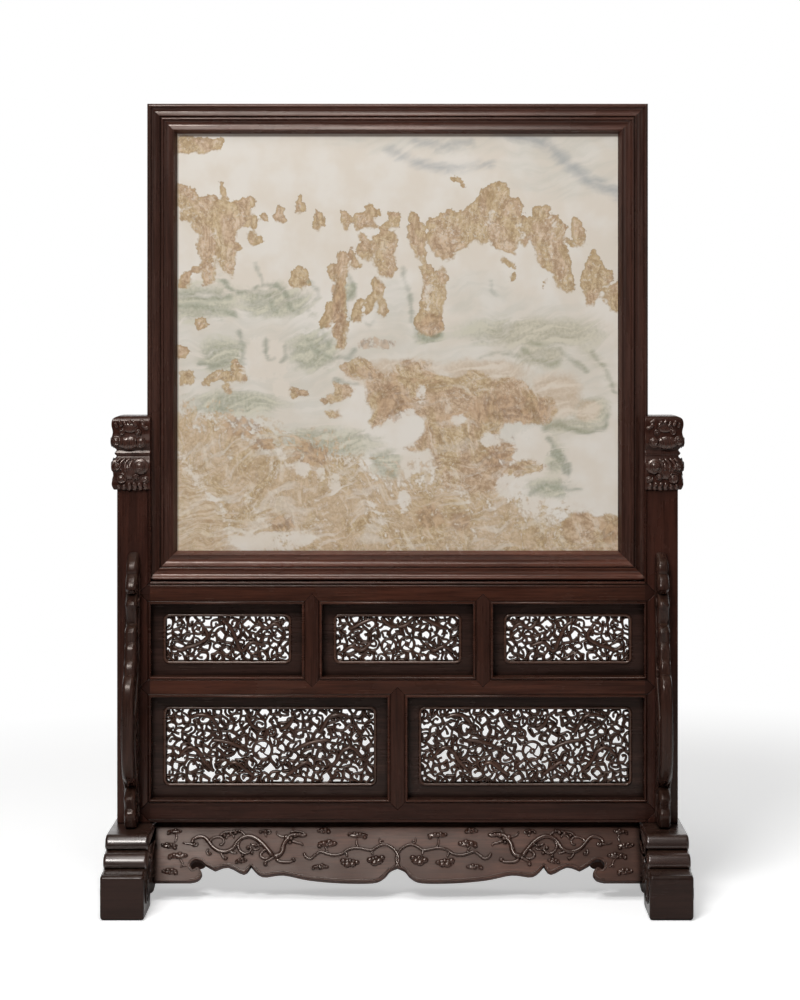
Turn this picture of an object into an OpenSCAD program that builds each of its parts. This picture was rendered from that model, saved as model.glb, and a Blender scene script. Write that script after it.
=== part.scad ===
// Hardwood table screen: a framed stone panel that drops into a carved stand.
// The origin is on the ground under the middle of the stand; the front faces -Y.

/* [Screen] */
// Width of the framed screen
screen_w = 474.5; // [430:0.5:520]
// Height of the framed screen
screen_h = 452; // [400:1:500]
// Width of the frame's moulded face
frame_face = 28.5; // [28:0.5:36]
// Thickness of the frame, front to back
frame_t = 26; // [25:1:30]
// Width of the lip round the frame's outer edge
lip_w = 4; // [3:0.5:5]
// Width of each hollow in the frame's moulding
cove_w = 8.5; // [7:0.5:9]
// Depth of each hollow in the frame's moulding
cove_d = 2.2; // [1:0.1:3]
// Width of the ridge between the hollows
ridge_w = 4; // [3:0.5:5]
// Radius of the frame's outer front edge
frame_edge_r = 2.5; // [1.5:0.5:3.5]
// Width of the bevel round the stone
frame_bevel_w = 2.5; // [1.5:0.5:3]
// Width of each tenon at the frame's mitred corners
corner_tenon_w = 10; // [6:0.5:12]
// Thickness of each tenon at the frame's mitred corners
corner_tenon_t = 7; // [4:0.5:9]
// Wood left outside the end of each corner tenon
corner_stop = 7; // [5:0.5:10]

/* [Stone and back] */
// Thickness of the stone slab
stone_t = 8; // [6:0.5:9]
// How far the stone lies behind the frame's front
stone_recess = 5; // [4:0.5:6]
// How far the stone's edges run into the frame
stone_bite = 6; // [4:0.5:7]
// Thickness of the back board
board_t = 5; // [4:0.5:6]
// How far the back board's edges run into the frame
board_bite = 4; // [3:0.5:6]
// Width of each batten behind the back board
batten_w = 28; // [20:1:40]
// Thickness of each batten
batten_t = 4; // [3:0.5:5]
// Height of the battens' tenons in the stiles
batten_tenon_w = 16; // [10:1:18]
// Length of the battens' tenons in the stiles
batten_tenon_l = 9; // [6:0.5:12]

/* [Posts] */
// Width of each post, seen from the front
post_w = 31.5; // [30:0.5:40]
// Depth of each post, front to back
post_d = 40; // [38:1:48]
// Height of each post above its foot
post_h = 385; // [360:1:420]
// Height of the carved head on each post
head_h = 70; // [60:1:80]
// How far the carved head stands out from the post
head_out = 6; // [4:0.5:7]
// How far the screen's edges run into the posts
groove_bite = 4; // [3:0.5:6]
// Width of the tenon under each post
foot_tenon_w = 16; // [12:1:20]
// Depth of the tenon under each post, front to back
foot_tenon_d = 24; // [18:1:30]
// Length of the tenon under each post
foot_tenon_l = 36; // [20:1:45]

/* [Feet] */
// Width of each foot, seen from the front
foot_w = 40; // [38:1:48]
// Depth of each foot, front to back
foot_d = 240; // [220:1:270]
// Height of each foot
foot_h = 70; // [66:1:80]
// Height of the toes
toe_h = 41; // [36:1:46]
// Length of each toe, front to back
toe_d = 60; // [50:1:66]
// Depth of each of the two steps above a toe
step_d = 24; // [20:1:26]
// Height of the cusped arch between the toes
arch_h = 18; // [14:1:24]
// Clear height under the lobes of the arch
lobe_z = 7; // [6:0.5:9]
// Rounding of the toes' edges
toe_edge = 4; // [3:0.5:6]

/* [Rails and struts] */
// Height of the bottom rail above the feet
rail_rise = 1; // [0.5:0.5:3]
// Height of the bottom rail
bottom_rail_h = 21; // [19:1:26]
// Height of the lower openings
lower_open_h = 97; // [85:1:110]
// Height of the middle rail
middle_rail_h = 19; // [18:1:24]
// Height of the upper openings
upper_open_h = 69; // [60:1:80]
// Height of the top rail
top_rail_h = 21; // [19:1:26]
// Width of the struts
strut_w = 18.5; // [16:0.5:22]
// Length of the rails' tenons in the posts
rail_tenon_l = 16; // [10:1:22]
// Length of the struts' tenons in the rails
strut_tenon_l = 7; // [5:0.5:8]
// Thickness of all tenons of the rails and struts
tenon_t = 10; // [8:0.5:14]
// Shoulder left above and below the rails' tenons
tenon_shoulder = 4; // [3:0.5:5]
// Thickness of the pointed mitres on the faces
mitre_t = 6; // [4:0.5:8]
// Distance of the scratched bead line from an edge
bead_w = 2.6; // [2:0.1:4]
// Radius of the scratched bead line
bead_r = 0.6; // [0.3:0.1:1]

/* [Openwork panels] */
// Thickness of each panel
panel_t = 10; // [8:0.5:12]
// Thickness of the tongue round each panel
tongue_t = 4; // [3:0.5:5]
// How far the tongue runs into its grooves
tongue_l = 3; // [2:0.5:4]
// Plain margin round the pierced field
margin_w = 11; // [8:0.5:14]
// Corner radius of the pierced field
field_r = 5; // [3:0.5:8]
// Width of the rim round the pierced field
rim_w = 2.4; // [1.8:0.1:3.5]
// How far the rim stands out from the panel
rim_out = 1.4; // [0.5:0.1:2.5]
// Thickness of the pierced scrolls, front to back
scroll_t = 9; // [6:0.5:11]
// Distance between neighbouring scrolls
scroll_pitch = 13.5; // [12:0.5:18]
// Width of the sawn gaps
gap_w = 3; // [2:0.1:3.4]
// Width of a dragon's body
dragon_w = 5; // [4:0.5:6]

/* [Standing spandrels] */
// Thickness of each spandrel
spandrel_t = 11; // [8:0.5:16]
// Height of each spandrel above its foot
spandrel_h = 256; // [230:1:290]
// How far the belly of a spandrel stands out from its post
spandrel_out = 55; // [46:1:62]
// Thickness of the tongue that holds a spandrel in its post
spandrel_tongue_t = 4; // [3:0.5:6]
// How far that tongue runs into the post
spandrel_tongue_l = 3; // [2:0.5:4]
// How far that tongue stops short of the spandrel's foot
spandrel_tongue_z = 8; // [5:0.5:12]

/* [Aprons] */
// Slope of each apron, from upright
apron_tilt = 30; // [22:1:34]
// Thickness of each apron
apron_t = 8; // [7:0.5:9]
// Height of each apron, measured along its slope
apron_drop = 54; // [48:0.5:58]
// Open line between the bottom rail and an apron's face
apron_gap = 5; // [4:0.5:7]
// Distance of an apron's back from the middle plane
apron_back = 4; // [3:0.5:6]
// How far an apron's ends run into the feet
apron_bite = 2; // [1:0.5:4]
// Thickness of the tongue along an apron's top
apron_tongue_t = 3; // [2:0.5:4]
// How far that tongue runs into the bottom rail
apron_tongue_l = 2; // [1.5:0.5:3]
// How far that tongue lies behind the apron's face
apron_tongue_in = 1; // [0.5:0.5:2]

/* [Fits] */
// Clearance round every tenon and tongue
fit = 0.15; // [0.1:0.05:0.3]
// Clearance of the screen in the posts' grooves
slide_gap = 0.4; // [0.3:0.1:0.8]
// Gap under the resting screen
seat_gap = 0.2; // [0.1:0.1:0.5]

/* [Hidden] */
$fn = 48;
wood = "#3b2320";
red_wood = "#4a2a24";
grey_wood = "#5b4a46";
stone = "#d8cbb2";
past = tongue_l / 3;

post_in = screen_w / 2 - groove_bite;
post_x = post_in + post_w / 2;
post_out = post_in + post_w;
post_top = foot_h + post_h;
foot_in = post_x - foot_w / 2;

bottom_z = foot_h + rail_rise;
lower_z = bottom_z + bottom_rail_h;
middle_z = lower_z + lower_open_h;
upper_z = middle_z + middle_rail_h;
top_z = upper_z + upper_open_h;
seat_z = top_z + top_rail_h;
screen_z = seat_z + seat_gap;

upper_open_w = (2 * post_in - 2 * strut_w) / 3;
lower_open_w = (2 * post_in - strut_w) / 2;
strut_x = (upper_open_w + strut_w) / 2;

board_y = stone_recess + stone_t + 2 * fit;
batten_y = board_y + board_t;
sight_w = screen_w - 2 * frame_face;
sight_h = screen_h - 2 * frame_face;
batten_levels = [screen_h / 3, screen_h * 2 / 3];

rail_levels = [[bottom_z, bottom_rail_h], [middle_z, middle_rail_h], [top_z, top_rail_h]];

// A smooth curve through a few chosen points, n steps to each stretch
function blend(a, b, c, d, t) =
    0.5 * (2 * b + (c - a) * t + (2 * a - 5 * b + 4 * c - d) * t * t + (3 * b - a - 3 * c + d) * t * t * t);
function curve(p, n) = concat(
    [for (i = [0 : len(p) - 2], k = [0 : n - 1])
        blend(p[max(i - 1, 0)], p[i], p[i + 1], p[min(i + 2, len(p) - 1)], k / n)],
    [p[len(p) - 1]]);
function stretch(p, sx, sy) = [for (q = p) [q[0] * sx, q[1] * sy]];
function backwards(p) = [for (i = [len(p) - 1 : -1 : 0]) p[i]];
function flipped(p) = [for (q = backwards(p)) [-q[0], q[1]]];

// A band of tapering width along a path
function heading(p, i) =
    let (d = p[min(i + 1, len(p) - 1)] - p[max(i - 1, 0)]) d / norm(d);
function edge(p, w0, w1) = [for (i = [0 : len(p) - 1])
    let (t = heading(p, i), w = w0 + (w1 - w0) * i / (len(p) - 1)) p[i] + w / 2 * [-t[1], t[0]]];
module band(p, w0, w1) {
    polygon(concat(edge(p, w0, w1), backwards(edge(p, -w0, -w1))));
}

// A flat outline in (Y, Z) pushed along X, centred on x
module along_x(x, w) {
    translate([x - w / 2, 0, 0]) rotate([90, 0, 90]) linear_extrude(w) children();
}

// A flat outline in (X, Z) pushed along Y, centred on y
module along_y(y, d) {
    translate([0, y + d / 2, 0]) rotate([90, 0, 0]) linear_extrude(d) children();
}

module box(x, y, z, w, d, h) {
    translate([x - w / 2, y - d / 2, z]) cube([w, d, h]);
}

// Frame of the screen
module rounded_edge(r) {
    difference() {
        square(r);
        translate([r, r]) circle(r);
    }
}

// Section of a frame bar: depth to the right, face width upwards
module frame_section() {
    cove_r = (cove_w * cove_w / 4 + cove_d * cove_d) / (2 * cove_d);
    cove_1 = lip_w + cove_w / 2;
    cove_2 = lip_w + cove_w + ridge_w + cove_w / 2;
    difference() {
        square([frame_t, frame_face]);
        rounded_edge(frame_edge_r);
        for (u = [cove_1, cove_2]) translate([cove_d - cove_r, u]) circle(cove_r);
        translate([0, lip_w + cove_w + ridge_w / 2]) circle(bead_r);
        polygon([[-past, frame_face - frame_bevel_w * (1 + past / stone_recess)], [stone_recess, frame_face],
            [stone_recess, frame_face + past], [-past, frame_face + past]]);
        translate([stone_recess - fit, frame_face - stone_bite])
            square([stone_t + 2 * fit, stone_bite + past]);
        translate([board_y - fit, frame_face - board_bite])
            square([board_t + 2 * fit, board_bite + past]);
    }
}

module frame_bar(len) {
    intersection() {
        along_x(0, len) frame_section();
        along_y(frame_t / 2, frame_t + 2 * past) polygon([[-len / 2, 0], [len / 2, 0],
            [len / 2 - frame_face, frame_face], [frame_face - len / 2, frame_face]]);
    }
}

module at_frame() {
    translate([0, -frame_t / 2, screen_z]) children();
}

// Tenons of the top and bottom bars in the stiles
module corner_tenons(grow) {
    deep = stone_recess + stone_t / 2;
    for (sx = [-1, 1], z = [frame_face - stone_bite - corner_tenon_w, screen_h - frame_face + stone_bite])
        box(sx * (screen_w / 2 - (frame_face + corner_stop) / 2), deep, z - grow,
            frame_face - corner_stop + 2 * grow, corner_tenon_t + 2 * grow, corner_tenon_w + 2 * grow);
}

module frame_top() {
    color(wood) at_frame() union() {
        translate([0, 0, screen_h]) mirror([0, 0, 1]) frame_bar(screen_w);
        intersection() {
            corner_tenons(0);
            box(0, frame_t / 2, screen_h / 2, screen_w, frame_t, screen_h / 2);
        }
    }
}

module frame_bottom() {
    color(wood) at_frame() union() {
        frame_bar(screen_w);
        intersection() {
            corner_tenons(0);
            box(0, frame_t / 2, 0, screen_w, frame_t, screen_h / 2);
        }
    }
}

module stile(side) {
    color(wood) at_frame() difference() {
        mirror([side > 0 ? 1 : 0, 0, 0]) translate([-screen_w / 2, 0, screen_h / 2]) rotate([0, 90, 0])
            frame_bar(screen_h);
        corner_tenons(fit);
        for (z = batten_levels)
            box(0, batten_y + batten_t / 2, z - batten_tenon_w / 2 - fit,
                sight_w + 2 * (batten_tenon_l + fit), batten_t + 2 * fit, batten_tenon_w + 2 * fit);
    }
}

module frame_left_stile() { stile(-1); }
module frame_right_stile() { stile(1); }

module stone_panel() {
    run = stone_bite - 2 * fit;
    color(stone) at_frame()
        box(0, stone_recess + stone_t / 2, frame_face - run, sight_w + 2 * run, stone_t, sight_h + 2 * run);
}

module back_board() {
    run = board_bite - 2 * fit;
    color(wood) at_frame()
        box(0, board_y + board_t / 2, frame_face - run, sight_w + 2 * run, board_t, sight_h + 2 * run);
}

module batten(level) {
    color(wood) at_frame() union() {
        box(0, batten_y + batten_t / 2, batten_levels[level] - batten_w / 2,
            sight_w - 2 * fit, batten_t, batten_w);
        box(0, batten_y + batten_t / 2, batten_levels[level] - batten_tenon_w / 2,
            sight_w + 2 * batten_tenon_l, batten_t, batten_tenon_w);
    }
}

module lower_batten() { batten(0); }
module upper_batten() { batten(1); }

// Rails, struts and their pointed mitres
module rail_tenons(z, h, grow) {
    tall = h - 2 * tenon_shoulder;
    for (sx = [-1, 1])
        box(sx * (post_in + (rail_tenon_l + grow - past) / 2), 0, z + tenon_shoulder - grow,
            rail_tenon_l + grow + past, tenon_t + 2 * grow, tall + 2 * grow);
}

module rail_points(z, h, grow) {
    for (sx = [-1, 1], sy = [-1, 1])
        along_y(sy * (post_d - mitre_t + grow) / 2, mitre_t + grow) translate([sx * post_in, z])
            polygon([[-sx * past, -grow], [-sx * past, h + grow], [0, h + grow],
                [sx * (h / 2 + grow), h / 2], [0, -grow]]);
}

// Bead lines along the upper and lower edges of a rail
module rail_lines(levels) {
    reach = 2 * (post_in + post_w);
    for (z = levels, sy = [-1, 1])
        translate([-reach / 2, sy * post_d / 2, z]) rotate([0, 90, 0]) cylinder(r = bead_r, h = reach);
}

// Grooves that hold the tongues of the panels
module rail_groove(z) {
    deep = tongue_l + fit;
    box(0, 0, z - deep, 2 * post_in, tongue_t + 2 * fit, 2 * deep);
}

module strut_tenon(x, z, dir, grow) {
    wide = strut_w - 2 * tenon_shoulder;
    long = strut_tenon_l + grow;
    box(x, 0, dir > 0 ? z - past : z - long, wide + 2 * grow, tenon_t + 2 * grow, long + past);
}

module strut_points(x, z, dir, grow) {
    half = strut_w / 2 + grow;
    for (sy = [-1, 1])
        along_y(sy * (post_d - mitre_t + grow) / 2, mitre_t + grow) translate([x, z])
            polygon([[-half, -dir * past], [half, -dir * past], [half, 0], [0, dir * half], [-half, 0]]);
}

module strut_seat(x, z, dir) {
    strut_tenon(x, z, dir, fit);
    strut_points(x, z, dir, fit);
}

module rail(z, h) {
    color(red_wood) difference() {
        union() {
            box(0, 0, z, 2 * post_in, post_d, h);
            rail_tenons(z, h, 0);
            rail_points(z, h, 0);
        }
        rail_lines([z + bead_w, z + h - bead_w]);
        children();
    }
}

module top_rail() {
    rail(top_z, top_rail_h) {
        rail_groove(top_z);
        for (sx = [-1, 1]) strut_seat(sx * strut_x, top_z, 1);
    }
}

module middle_rail() {
    rail(middle_z, middle_rail_h) {
        rail_groove(middle_z);
        rail_groove(upper_z);
        for (sx = [-1, 1]) strut_seat(sx * strut_x, upper_z, -1);
        strut_seat(0, middle_z, 1);
    }
}

module bottom_rail() {
    rail(bottom_z, bottom_rail_h) {
        rail_groove(lower_z);
        strut_seat(0, lower_z, -1);
        for (sy = [-1, 1]) apron_place(sy) apron_tongue(fit);
    }
}

module strut(x, z, h) {
    color(red_wood) difference() {
        union() {
            box(x, 0, z, strut_w, post_d, h);
            for (end = [[z, -1], [z + h, 1]]) {
                strut_tenon(x, end[0], end[1], 0);
                strut_points(x, end[0], end[1], 0);
            }
        }
        for (sx = [-1, 1], sy = [-1, 1])
            translate([x + sx * (strut_w / 2 - bead_w), sy * post_d / 2, z - strut_w])
                cylinder(r = bead_r, h = h + 2 * strut_w);
        for (sx = [-1, 1])
            box(x + sx * strut_w / 2, 0, z - past, 2 * (tongue_l + fit), tongue_t + 2 * fit, h + 2 * past);
    }
}

module left_strut() { strut(-strut_x, upper_z, upper_open_h); }
module right_strut() { strut(strut_x, upper_z, upper_open_h); }
module lower_strut() { strut(0, lower_z, lower_open_h); }

// Posts with their carved heads
// Each point: share of head_out beyond the post's face, share of head_h
lower_tier = [[0.5, 0], [0.82, 0.08], [0.55, 0.2], [0.85, 0.3], [0.6, 0.39], [0.1, 0.445]];
neck_bead = [[0.1, 0.46], [0.36, 0.48], [0.36, 0.5], [0.1, 0.525]];
upper_tier = [[0.1, 0.54], [0.75, 0.6], [0.98, 0.655], [0.65, 0.77], [0.85, 0.88], [0.6, 0.96], [-0.4, 1]];
head_profile = concat(curve(lower_tier, 4), neck_bead, curve(upper_tier, 4));

function head_side(base, share) = [for (q = head_profile) [base + q[0] * head_out * share, q[1] * head_h]];

module post_head() {
    front_share = 0.7;
    half = head_side(post_d / 2, front_share);
    translate([0, 0, post_top - head_h]) intersection() {
        along_y(0, post_d + 4 * head_out)
            polygon(concat([[post_in, 0]], head_side(post_out, 1), [[post_in, head_h]]));
        along_x(post_x, post_w + 4 * head_out) polygon(concat(half, flipped(half)));
    }
}

module right_post_shape() {
    bead_x = post_in + bead_w;
    difference() {
        union() {
            box(post_x, 0, foot_h, post_w, post_d, post_h - head_h + past);
            post_head();
            foot_tenon(0);
        }
        box(post_in, 0, seat_z, 2 * (groove_bite + slide_gap), frame_t + 2 * slide_gap, post_h);
        for (level = rail_levels) {
            rail_tenons(level[0], level[1], fit);
            rail_points(level[0], level[1], fit);
        }
        for (level = [[lower_z, lower_open_h], [upper_z, upper_open_h]])
            box(post_in, 0, level[0], 2 * (tongue_l + fit), tongue_t + 2 * fit, level[1]);
        for (sy = [-1, 1]) {
            spandrel_place(sy) spandrel_tongue(fit);
            translate([bead_x, sy * post_d / 2, foot_h - past])
                cylinder(r = bead_r, h = post_h - head_h + past);
        }
    }
}

module foot_tenon(grow) {
    box(post_x, 0, foot_h - foot_tenon_l - grow, foot_tenon_w + 2 * grow, foot_tenon_d + 2 * grow,
        foot_tenon_l + grow + past);
}

module right_post() { color(wood) right_post_shape(); }
module left_post() { color(wood) mirror([1, 0, 0]) right_post_shape(); }

// Feet: two rolled steps above each toe and a cusped arch below
plateau = foot_d / 2 - 2 * step_d;
toe_in = foot_d / 2 - toe_d;
step_z = (foot_h - toe_h) / 2;
roll_1 = [[plateau, foot_h], [plateau + step_d * 0.15, foot_h - step_z * 0.09],
    [plateau + step_d * 0.26, foot_h - step_z * 0.42], [plateau + step_d * 0.36, foot_h - step_z * 0.78],
    [plateau + step_d * 0.32, foot_h - step_z * 0.94]];
roll_2 = [[plateau + step_d * 0.66, foot_h - step_z],
    [plateau + step_d * 0.79, foot_h - step_z * 1.09], [plateau + step_d * 0.9, foot_h - step_z * 1.42],
    [plateau + step_d * 1.01, foot_h - step_z * 1.76], [plateau + step_d * 0.98, foot_h - step_z * 1.9]];
toe = [[plateau + step_d * 1.4, toe_h + toe_edge * 0.25], [foot_d / 2 - toe_edge, toe_h],
    [foot_d / 2 - toe_edge * 0.25, toe_h - toe_edge * 0.4], [foot_d / 2, toe_h - toe_edge]];
toe_under = [[foot_d / 2, toe_edge], [foot_d / 2 - toe_edge * 0.3, toe_edge * 0.3],
    [foot_d / 2 - toe_edge, 0]];
toe_back = [[toe_in + toe_edge, 0], [toe_in + toe_edge * 0.3, toe_edge * 0.4], [toe_in, toe_edge],
    [toe_in, lobe_z + toe_edge * 0.75], [toe_in - toe_edge, lobe_z + toe_edge * 1.5]];
lobe = [[toe_in - toe_edge * 2, lobe_z + toe_edge], [toe_in * 0.62, lobe_z + toe_edge * 0.15],
    [toe_in * 0.42, lobe_z], [toe_in * 0.2, lobe_z + toe_edge * 0.75],
    [toe_in * 0.08, arch_h - toe_edge * 1.25], [0, arch_h]];
half_foot = concat(curve(roll_1, 4), curve(roll_2, 4), curve(toe, 4), toe_under,
    curve(toe_back, 3), curve(lobe, 4));

module right_foot_shape() {
    difference() {
        along_x(post_x, foot_w) polygon(concat(half_foot, flipped(half_foot)));
        foot_tenon(fit);
        for (sy = [-1, 1]) apron_place(sy) apron_board(fit);
    }
}

module right_foot() { color(wood) right_foot_shape(); }
module left_foot() { color(wood) mirror([1, 0, 0]) right_foot_shape(); }

// Standing spandrels: share of spandrel_out, share of spandrel_h
spandrel_edge = concat(
    curve([[0.56, 0], [0.66, 0.05], [0.6, 0.075]], 3),
    curve([[0.62, 0.085], [0.7, 0.115], [0.58, 0.14], [0.46, 0.152]], 3),
    curve([[0.5, 0.16], [0.8, 0.19], [0.97, 0.25], [1, 0.36], [1, 0.47], [0.93, 0.535], [0.8, 0.565]], 4),
    curve([[0.74, 0.57], [0.7, 0.605], [0.62, 0.62]], 2),
    curve([[0.6, 0.64], [0.57, 0.665], [0.5, 0.68]], 2),
    curve([[0.52, 0.715], [0.44, 0.735], [0.32, 0.745], [0.4, 0.79], [0.46, 0.815], [0.34, 0.84]], 3),
    curve([[0.3, 0.85], [0.46, 0.87], [0.4, 0.905], [0.3, 0.925]], 3),
    curve([[0.32, 0.935], [0.28, 0.965], [0.15, 0.985], [0, 1]], 3));

module spandrel_place(sy) {
    translate([0, 0, foot_h]) mirror([0, sy < 0 ? 1 : 0, 0]) translate([0, post_d / 2, 0]) children();
}

module spandrel_tongue(grow) {
    box(post_x, 0, spandrel_tongue_z - grow, spandrel_tongue_t + 2 * grow, 2 * (spandrel_tongue_l + grow),
        spandrel_h - 4 * spandrel_tongue_z + 2 * grow);
}

module spandrel(sx, sy) {
    color(wood) mirror([sx < 0 ? 1 : 0, 0, 0]) spandrel_place(sy) union() {
        along_x(post_x, spandrel_t)
            polygon(concat([[0, 0]], stretch(spandrel_edge, spandrel_out, spandrel_h)));
        spandrel_tongue(0);
    }
}

module front_left_spandrel() { spandrel(-1, -1); }
module front_right_spandrel() { spandrel(1, -1); }
module back_left_spandrel() { spandrel(-1, 1); }
module back_right_spandrel() { spandrel(1, 1); }

// Aprons: share of the half span, share of apron_drop below the top edge
apron_edge = concat(
    curve([[0, 0.74], [0.03, 0.8], [0.055, 0.92], [0.1, 1], [0.23, 1], [0.36, 0.95], [0.465, 0.86],
        [0.55, 0.89], [0.596, 0.72]], 4),
    curve([[0.596, 0.72], [0.625, 0.85], [0.69, 0.72], [0.742, 0.79]], 3),
    curve([[0.742, 0.79], [0.78, 0.7], [0.8, 0.63], [0.826, 0.61], [0.843, 0.69], [0.834, 0.785],
        [0.816, 0.74], [0.802, 0.79], [0.795, 0.87], [0.81, 0.965], [0.84, 1]], 3));

module apron_place(sy) {
    face = apron_back + apron_t * cos(apron_tilt);
    mirror([0, sy > 0 ? 1 : 0, 0]) translate([0, -face, bottom_z - apron_gap])
        rotate([-apron_tilt, 0, 0]) translate([0, apron_t, 0]) children();
}

// The plain board, with its face on the plane y = -apron_t
module apron_board(grow) {
    half = foot_in + apron_bite + grow;
    translate([-half, -apron_t - grow, -apron_drop - grow])
        cube([2 * half, apron_t + 2 * grow, apron_drop + 2 * grow]);
}

module apron_tongue(grow) {
    rise = (apron_gap + apron_t * sin(apron_tilt) / 2) / cos(apron_tilt) + apron_tongue_l;
    half = foot_in - apron_bite;
    translate([-half - grow, apron_tongue_in - apron_t - grow, -past])
        cube([2 * (half + grow), apron_tongue_t + 2 * grow, rise + past + grow]);
}

module apron(sy) {
    half = foot_in + apron_bite;
    drop = [for (q = apron_edge) [q[0] * half, -q[1] * apron_drop]];
    side = concat(drop, [[half, -apron_drop], [half, 0]]);
    color(grey_wood) apron_place(sy) union() {
        along_y(-apron_t / 2, apron_t) polygon(concat(side, flipped(side)));
        apron_tongue(0);
    }
}

module front_apron() { apron(-1); }
module back_apron() { apron(1); }

// Openwork: rows of curling scrolls, sawn out as two bean-shaped gaps to each scroll
// and one between its neighbours, and left whole where a dragon winds through
module bean(r, start, sweep) {
    steps = 3;
    path = [for (i = [0 : steps]) r * [cos(start + sweep * i / steps), sin(start + sweep * i / steps)]];
    band(path, gap_w, gap_w * 0.7);
}

function near(p, line) = min([for (q = line) norm(p - q)]);
function clear_of(p, lines) = len(lines) == 0 ? scroll_pitch : min([for (line = lines) near(p, line)]);

// Gaps over a field from x = 0 to w, its height centred
module scroll_gaps(w, h, dragons) {
    nx = max(1, round(w / scroll_pitch));
    ny = max(1, round(h / scroll_pitch));
    dx = w / nx;
    dy = h / ny;
    r = min(dx, dy) * 0.3;
    keep = dragon_w / 2 + r * 0.6;
    for (j = [0 : ny - 1], i = [0 : nx - 1]) {
        stray = 0.05 * [dx * sin(137 * i + 71 * j), dy * sin(97 * i + 53 * j)];
        mid = [(i + 0.5) * dx, (j + 0.5) * dy - h / 2] + stray;
        turn = 83 * i + 147 * j;
        for (part = [[turn, 130], [turn + 195, 95]]) {
            at = mid + r * [cos(part[0] + part[1] / 2), sin(part[0] + part[1] / 2)];
            if (clear_of(at, dragons) > keep) translate(mid) bean(r, part[0], part[1]);
        }
        corner = [(i + 1) * dx, (j + 1) * dy - h / 2];
        if (i < nx - 1 && j < ny - 1 && clear_of(corner, dragons) > keep)
            translate(corner) rotate(turn) circle(gap_w * (0.7 + 0.12 * sin(turn)), $fn = 5);
    }
}

// Each dragon: shares of the field's width and of its height
lower_dragons = [
    [[0.13, -0.02], [0.22, -0.14], [0.3, -0.02], [0.42, 0.06], [0.56, 0.02], [0.68, -0.12], [0.84, -0.1],
        [0.95, 0.02]],
    [[0.1, 0.3], [0.2, 0.2], [0.27, 0.3], [0.36, 0.42]],
    [[0.14, -0.42], [0.26, -0.36], [0.36, -0.24], [0.5, -0.2], [0.62, -0.36]],
    [[0.62, 0.3], [0.74, 0.38], [0.86, 0.26], [0.96, 0.3]]];
middle_dragons = [
    [[0, 0.2], [0.1, 0.24], [0.24, 0.38], [0.3, 0.5]],
    [[0.34, 0.28], [0.5, 0.32], [0.66, 0.2], [0.84, 0.3], [1, 0.2]],
    [[0.42, -0.2], [0.56, 0], [0.74, -0.06], [0.9, 0.06]]];
side_dragons = [
    [[0.1, -0.24], [0.2, -0.18], [0.32, -0.2], [0.42, -0.02], [0.36, 0.14], [0.27, 0.3]],
    [[0.45, 0.34], [0.53, 0.26], [0.6, 0.02], [0.66, -0.24], [0.75, -0.06], [0.85, -0.14]],
    [[0.71, 0.36], [0.79, 0.2], [0.88, 0.3], [0.95, 0.16]]];

function bodies(shares, w, h) = [for (d = shares) curve(stretch(d, w, h), 4)];

module field_shape(w, h, inset) {
    offset(r = field_r - inset, $fn = 24) square([w - 2 * field_r, h - 2 * field_r], center = true);
}

// kind: 0 for a side panel, 1 for the middle one, 2 for a lower one
module gaps(w, h, kind) {
    if (kind == 0)
        translate([-w / 2, 0]) scroll_gaps(w, h, bodies(side_dragons, w, h));
    else
        for (m = [0, 1]) mirror([m, 0])
            scroll_gaps(w / 2, h, bodies(kind == 1 ? middle_dragons : lower_dragons, w / 2, h));
}

module panel(x, z, w, h, kind) {
    rim_x = w - 2 * margin_w;
    rim_z = h - 2 * margin_w;
    body_w = w - 2 * fit;
    body_h = h - 2 * fit;
    color(wood) translate([x, 0, z + h / 2]) difference() {
        union() {
            box(0, 0, -body_h / 2, body_w, panel_t, body_h);
            box(0, 0, -body_h / 2, w + 2 * tongue_l, tongue_t, body_h);
            box(0, 0, -h / 2 - tongue_l, body_w, tongue_t, h + 2 * tongue_l);
            along_y(0, panel_t + 2 * rim_out) field_shape(rim_x, rim_z, 0);
        }
        for (sy = [-1, 1])
            along_y(sy * (scroll_t / 2 + panel_t / 2), panel_t) field_shape(rim_x, rim_z, rim_w);
        along_y(0, panel_t + 2 * past) gaps(rim_x - 2 * rim_w, rim_z - 2 * rim_w, kind);
    }
}

upper_x = upper_open_w + strut_w;
lower_x = (lower_open_w + strut_w) / 2;
module upper_left_panel() { panel(-upper_x, upper_z, upper_open_w, upper_open_h, 0); }
module upper_middle_panel() { panel(0, upper_z, upper_open_w, upper_open_h, 1); }
module upper_right_panel() { mirror([1, 0, 0]) upper_left_panel(); }
module lower_left_panel() { panel(-lower_x, lower_z, lower_open_w, lower_open_h, 2); }
module lower_right_panel() { panel(lower_x, lower_z, lower_open_w, lower_open_h, 2); }

stone_panel();
back_board();
upper_batten();
lower_batten();
frame_top();
frame_bottom();
frame_left_stile();
frame_right_stile();
left_foot();
right_foot();
left_post();
right_post();
front_left_spandrel();
front_right_spandrel();
back_left_spandrel();
back_right_spandrel();
top_rail();
middle_rail();
bottom_rail();
left_strut();
right_strut();
lower_strut();
upper_left_panel();
upper_middle_panel();
upper_right_panel();
lower_left_panel();
lower_right_panel();
front_apron();
back_apron();
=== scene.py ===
import math
import random

import bmesh
import bpy
import numpy as np
from mathutils import Matrix, Vector
from mathutils.bvhtree import BVHTree


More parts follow.
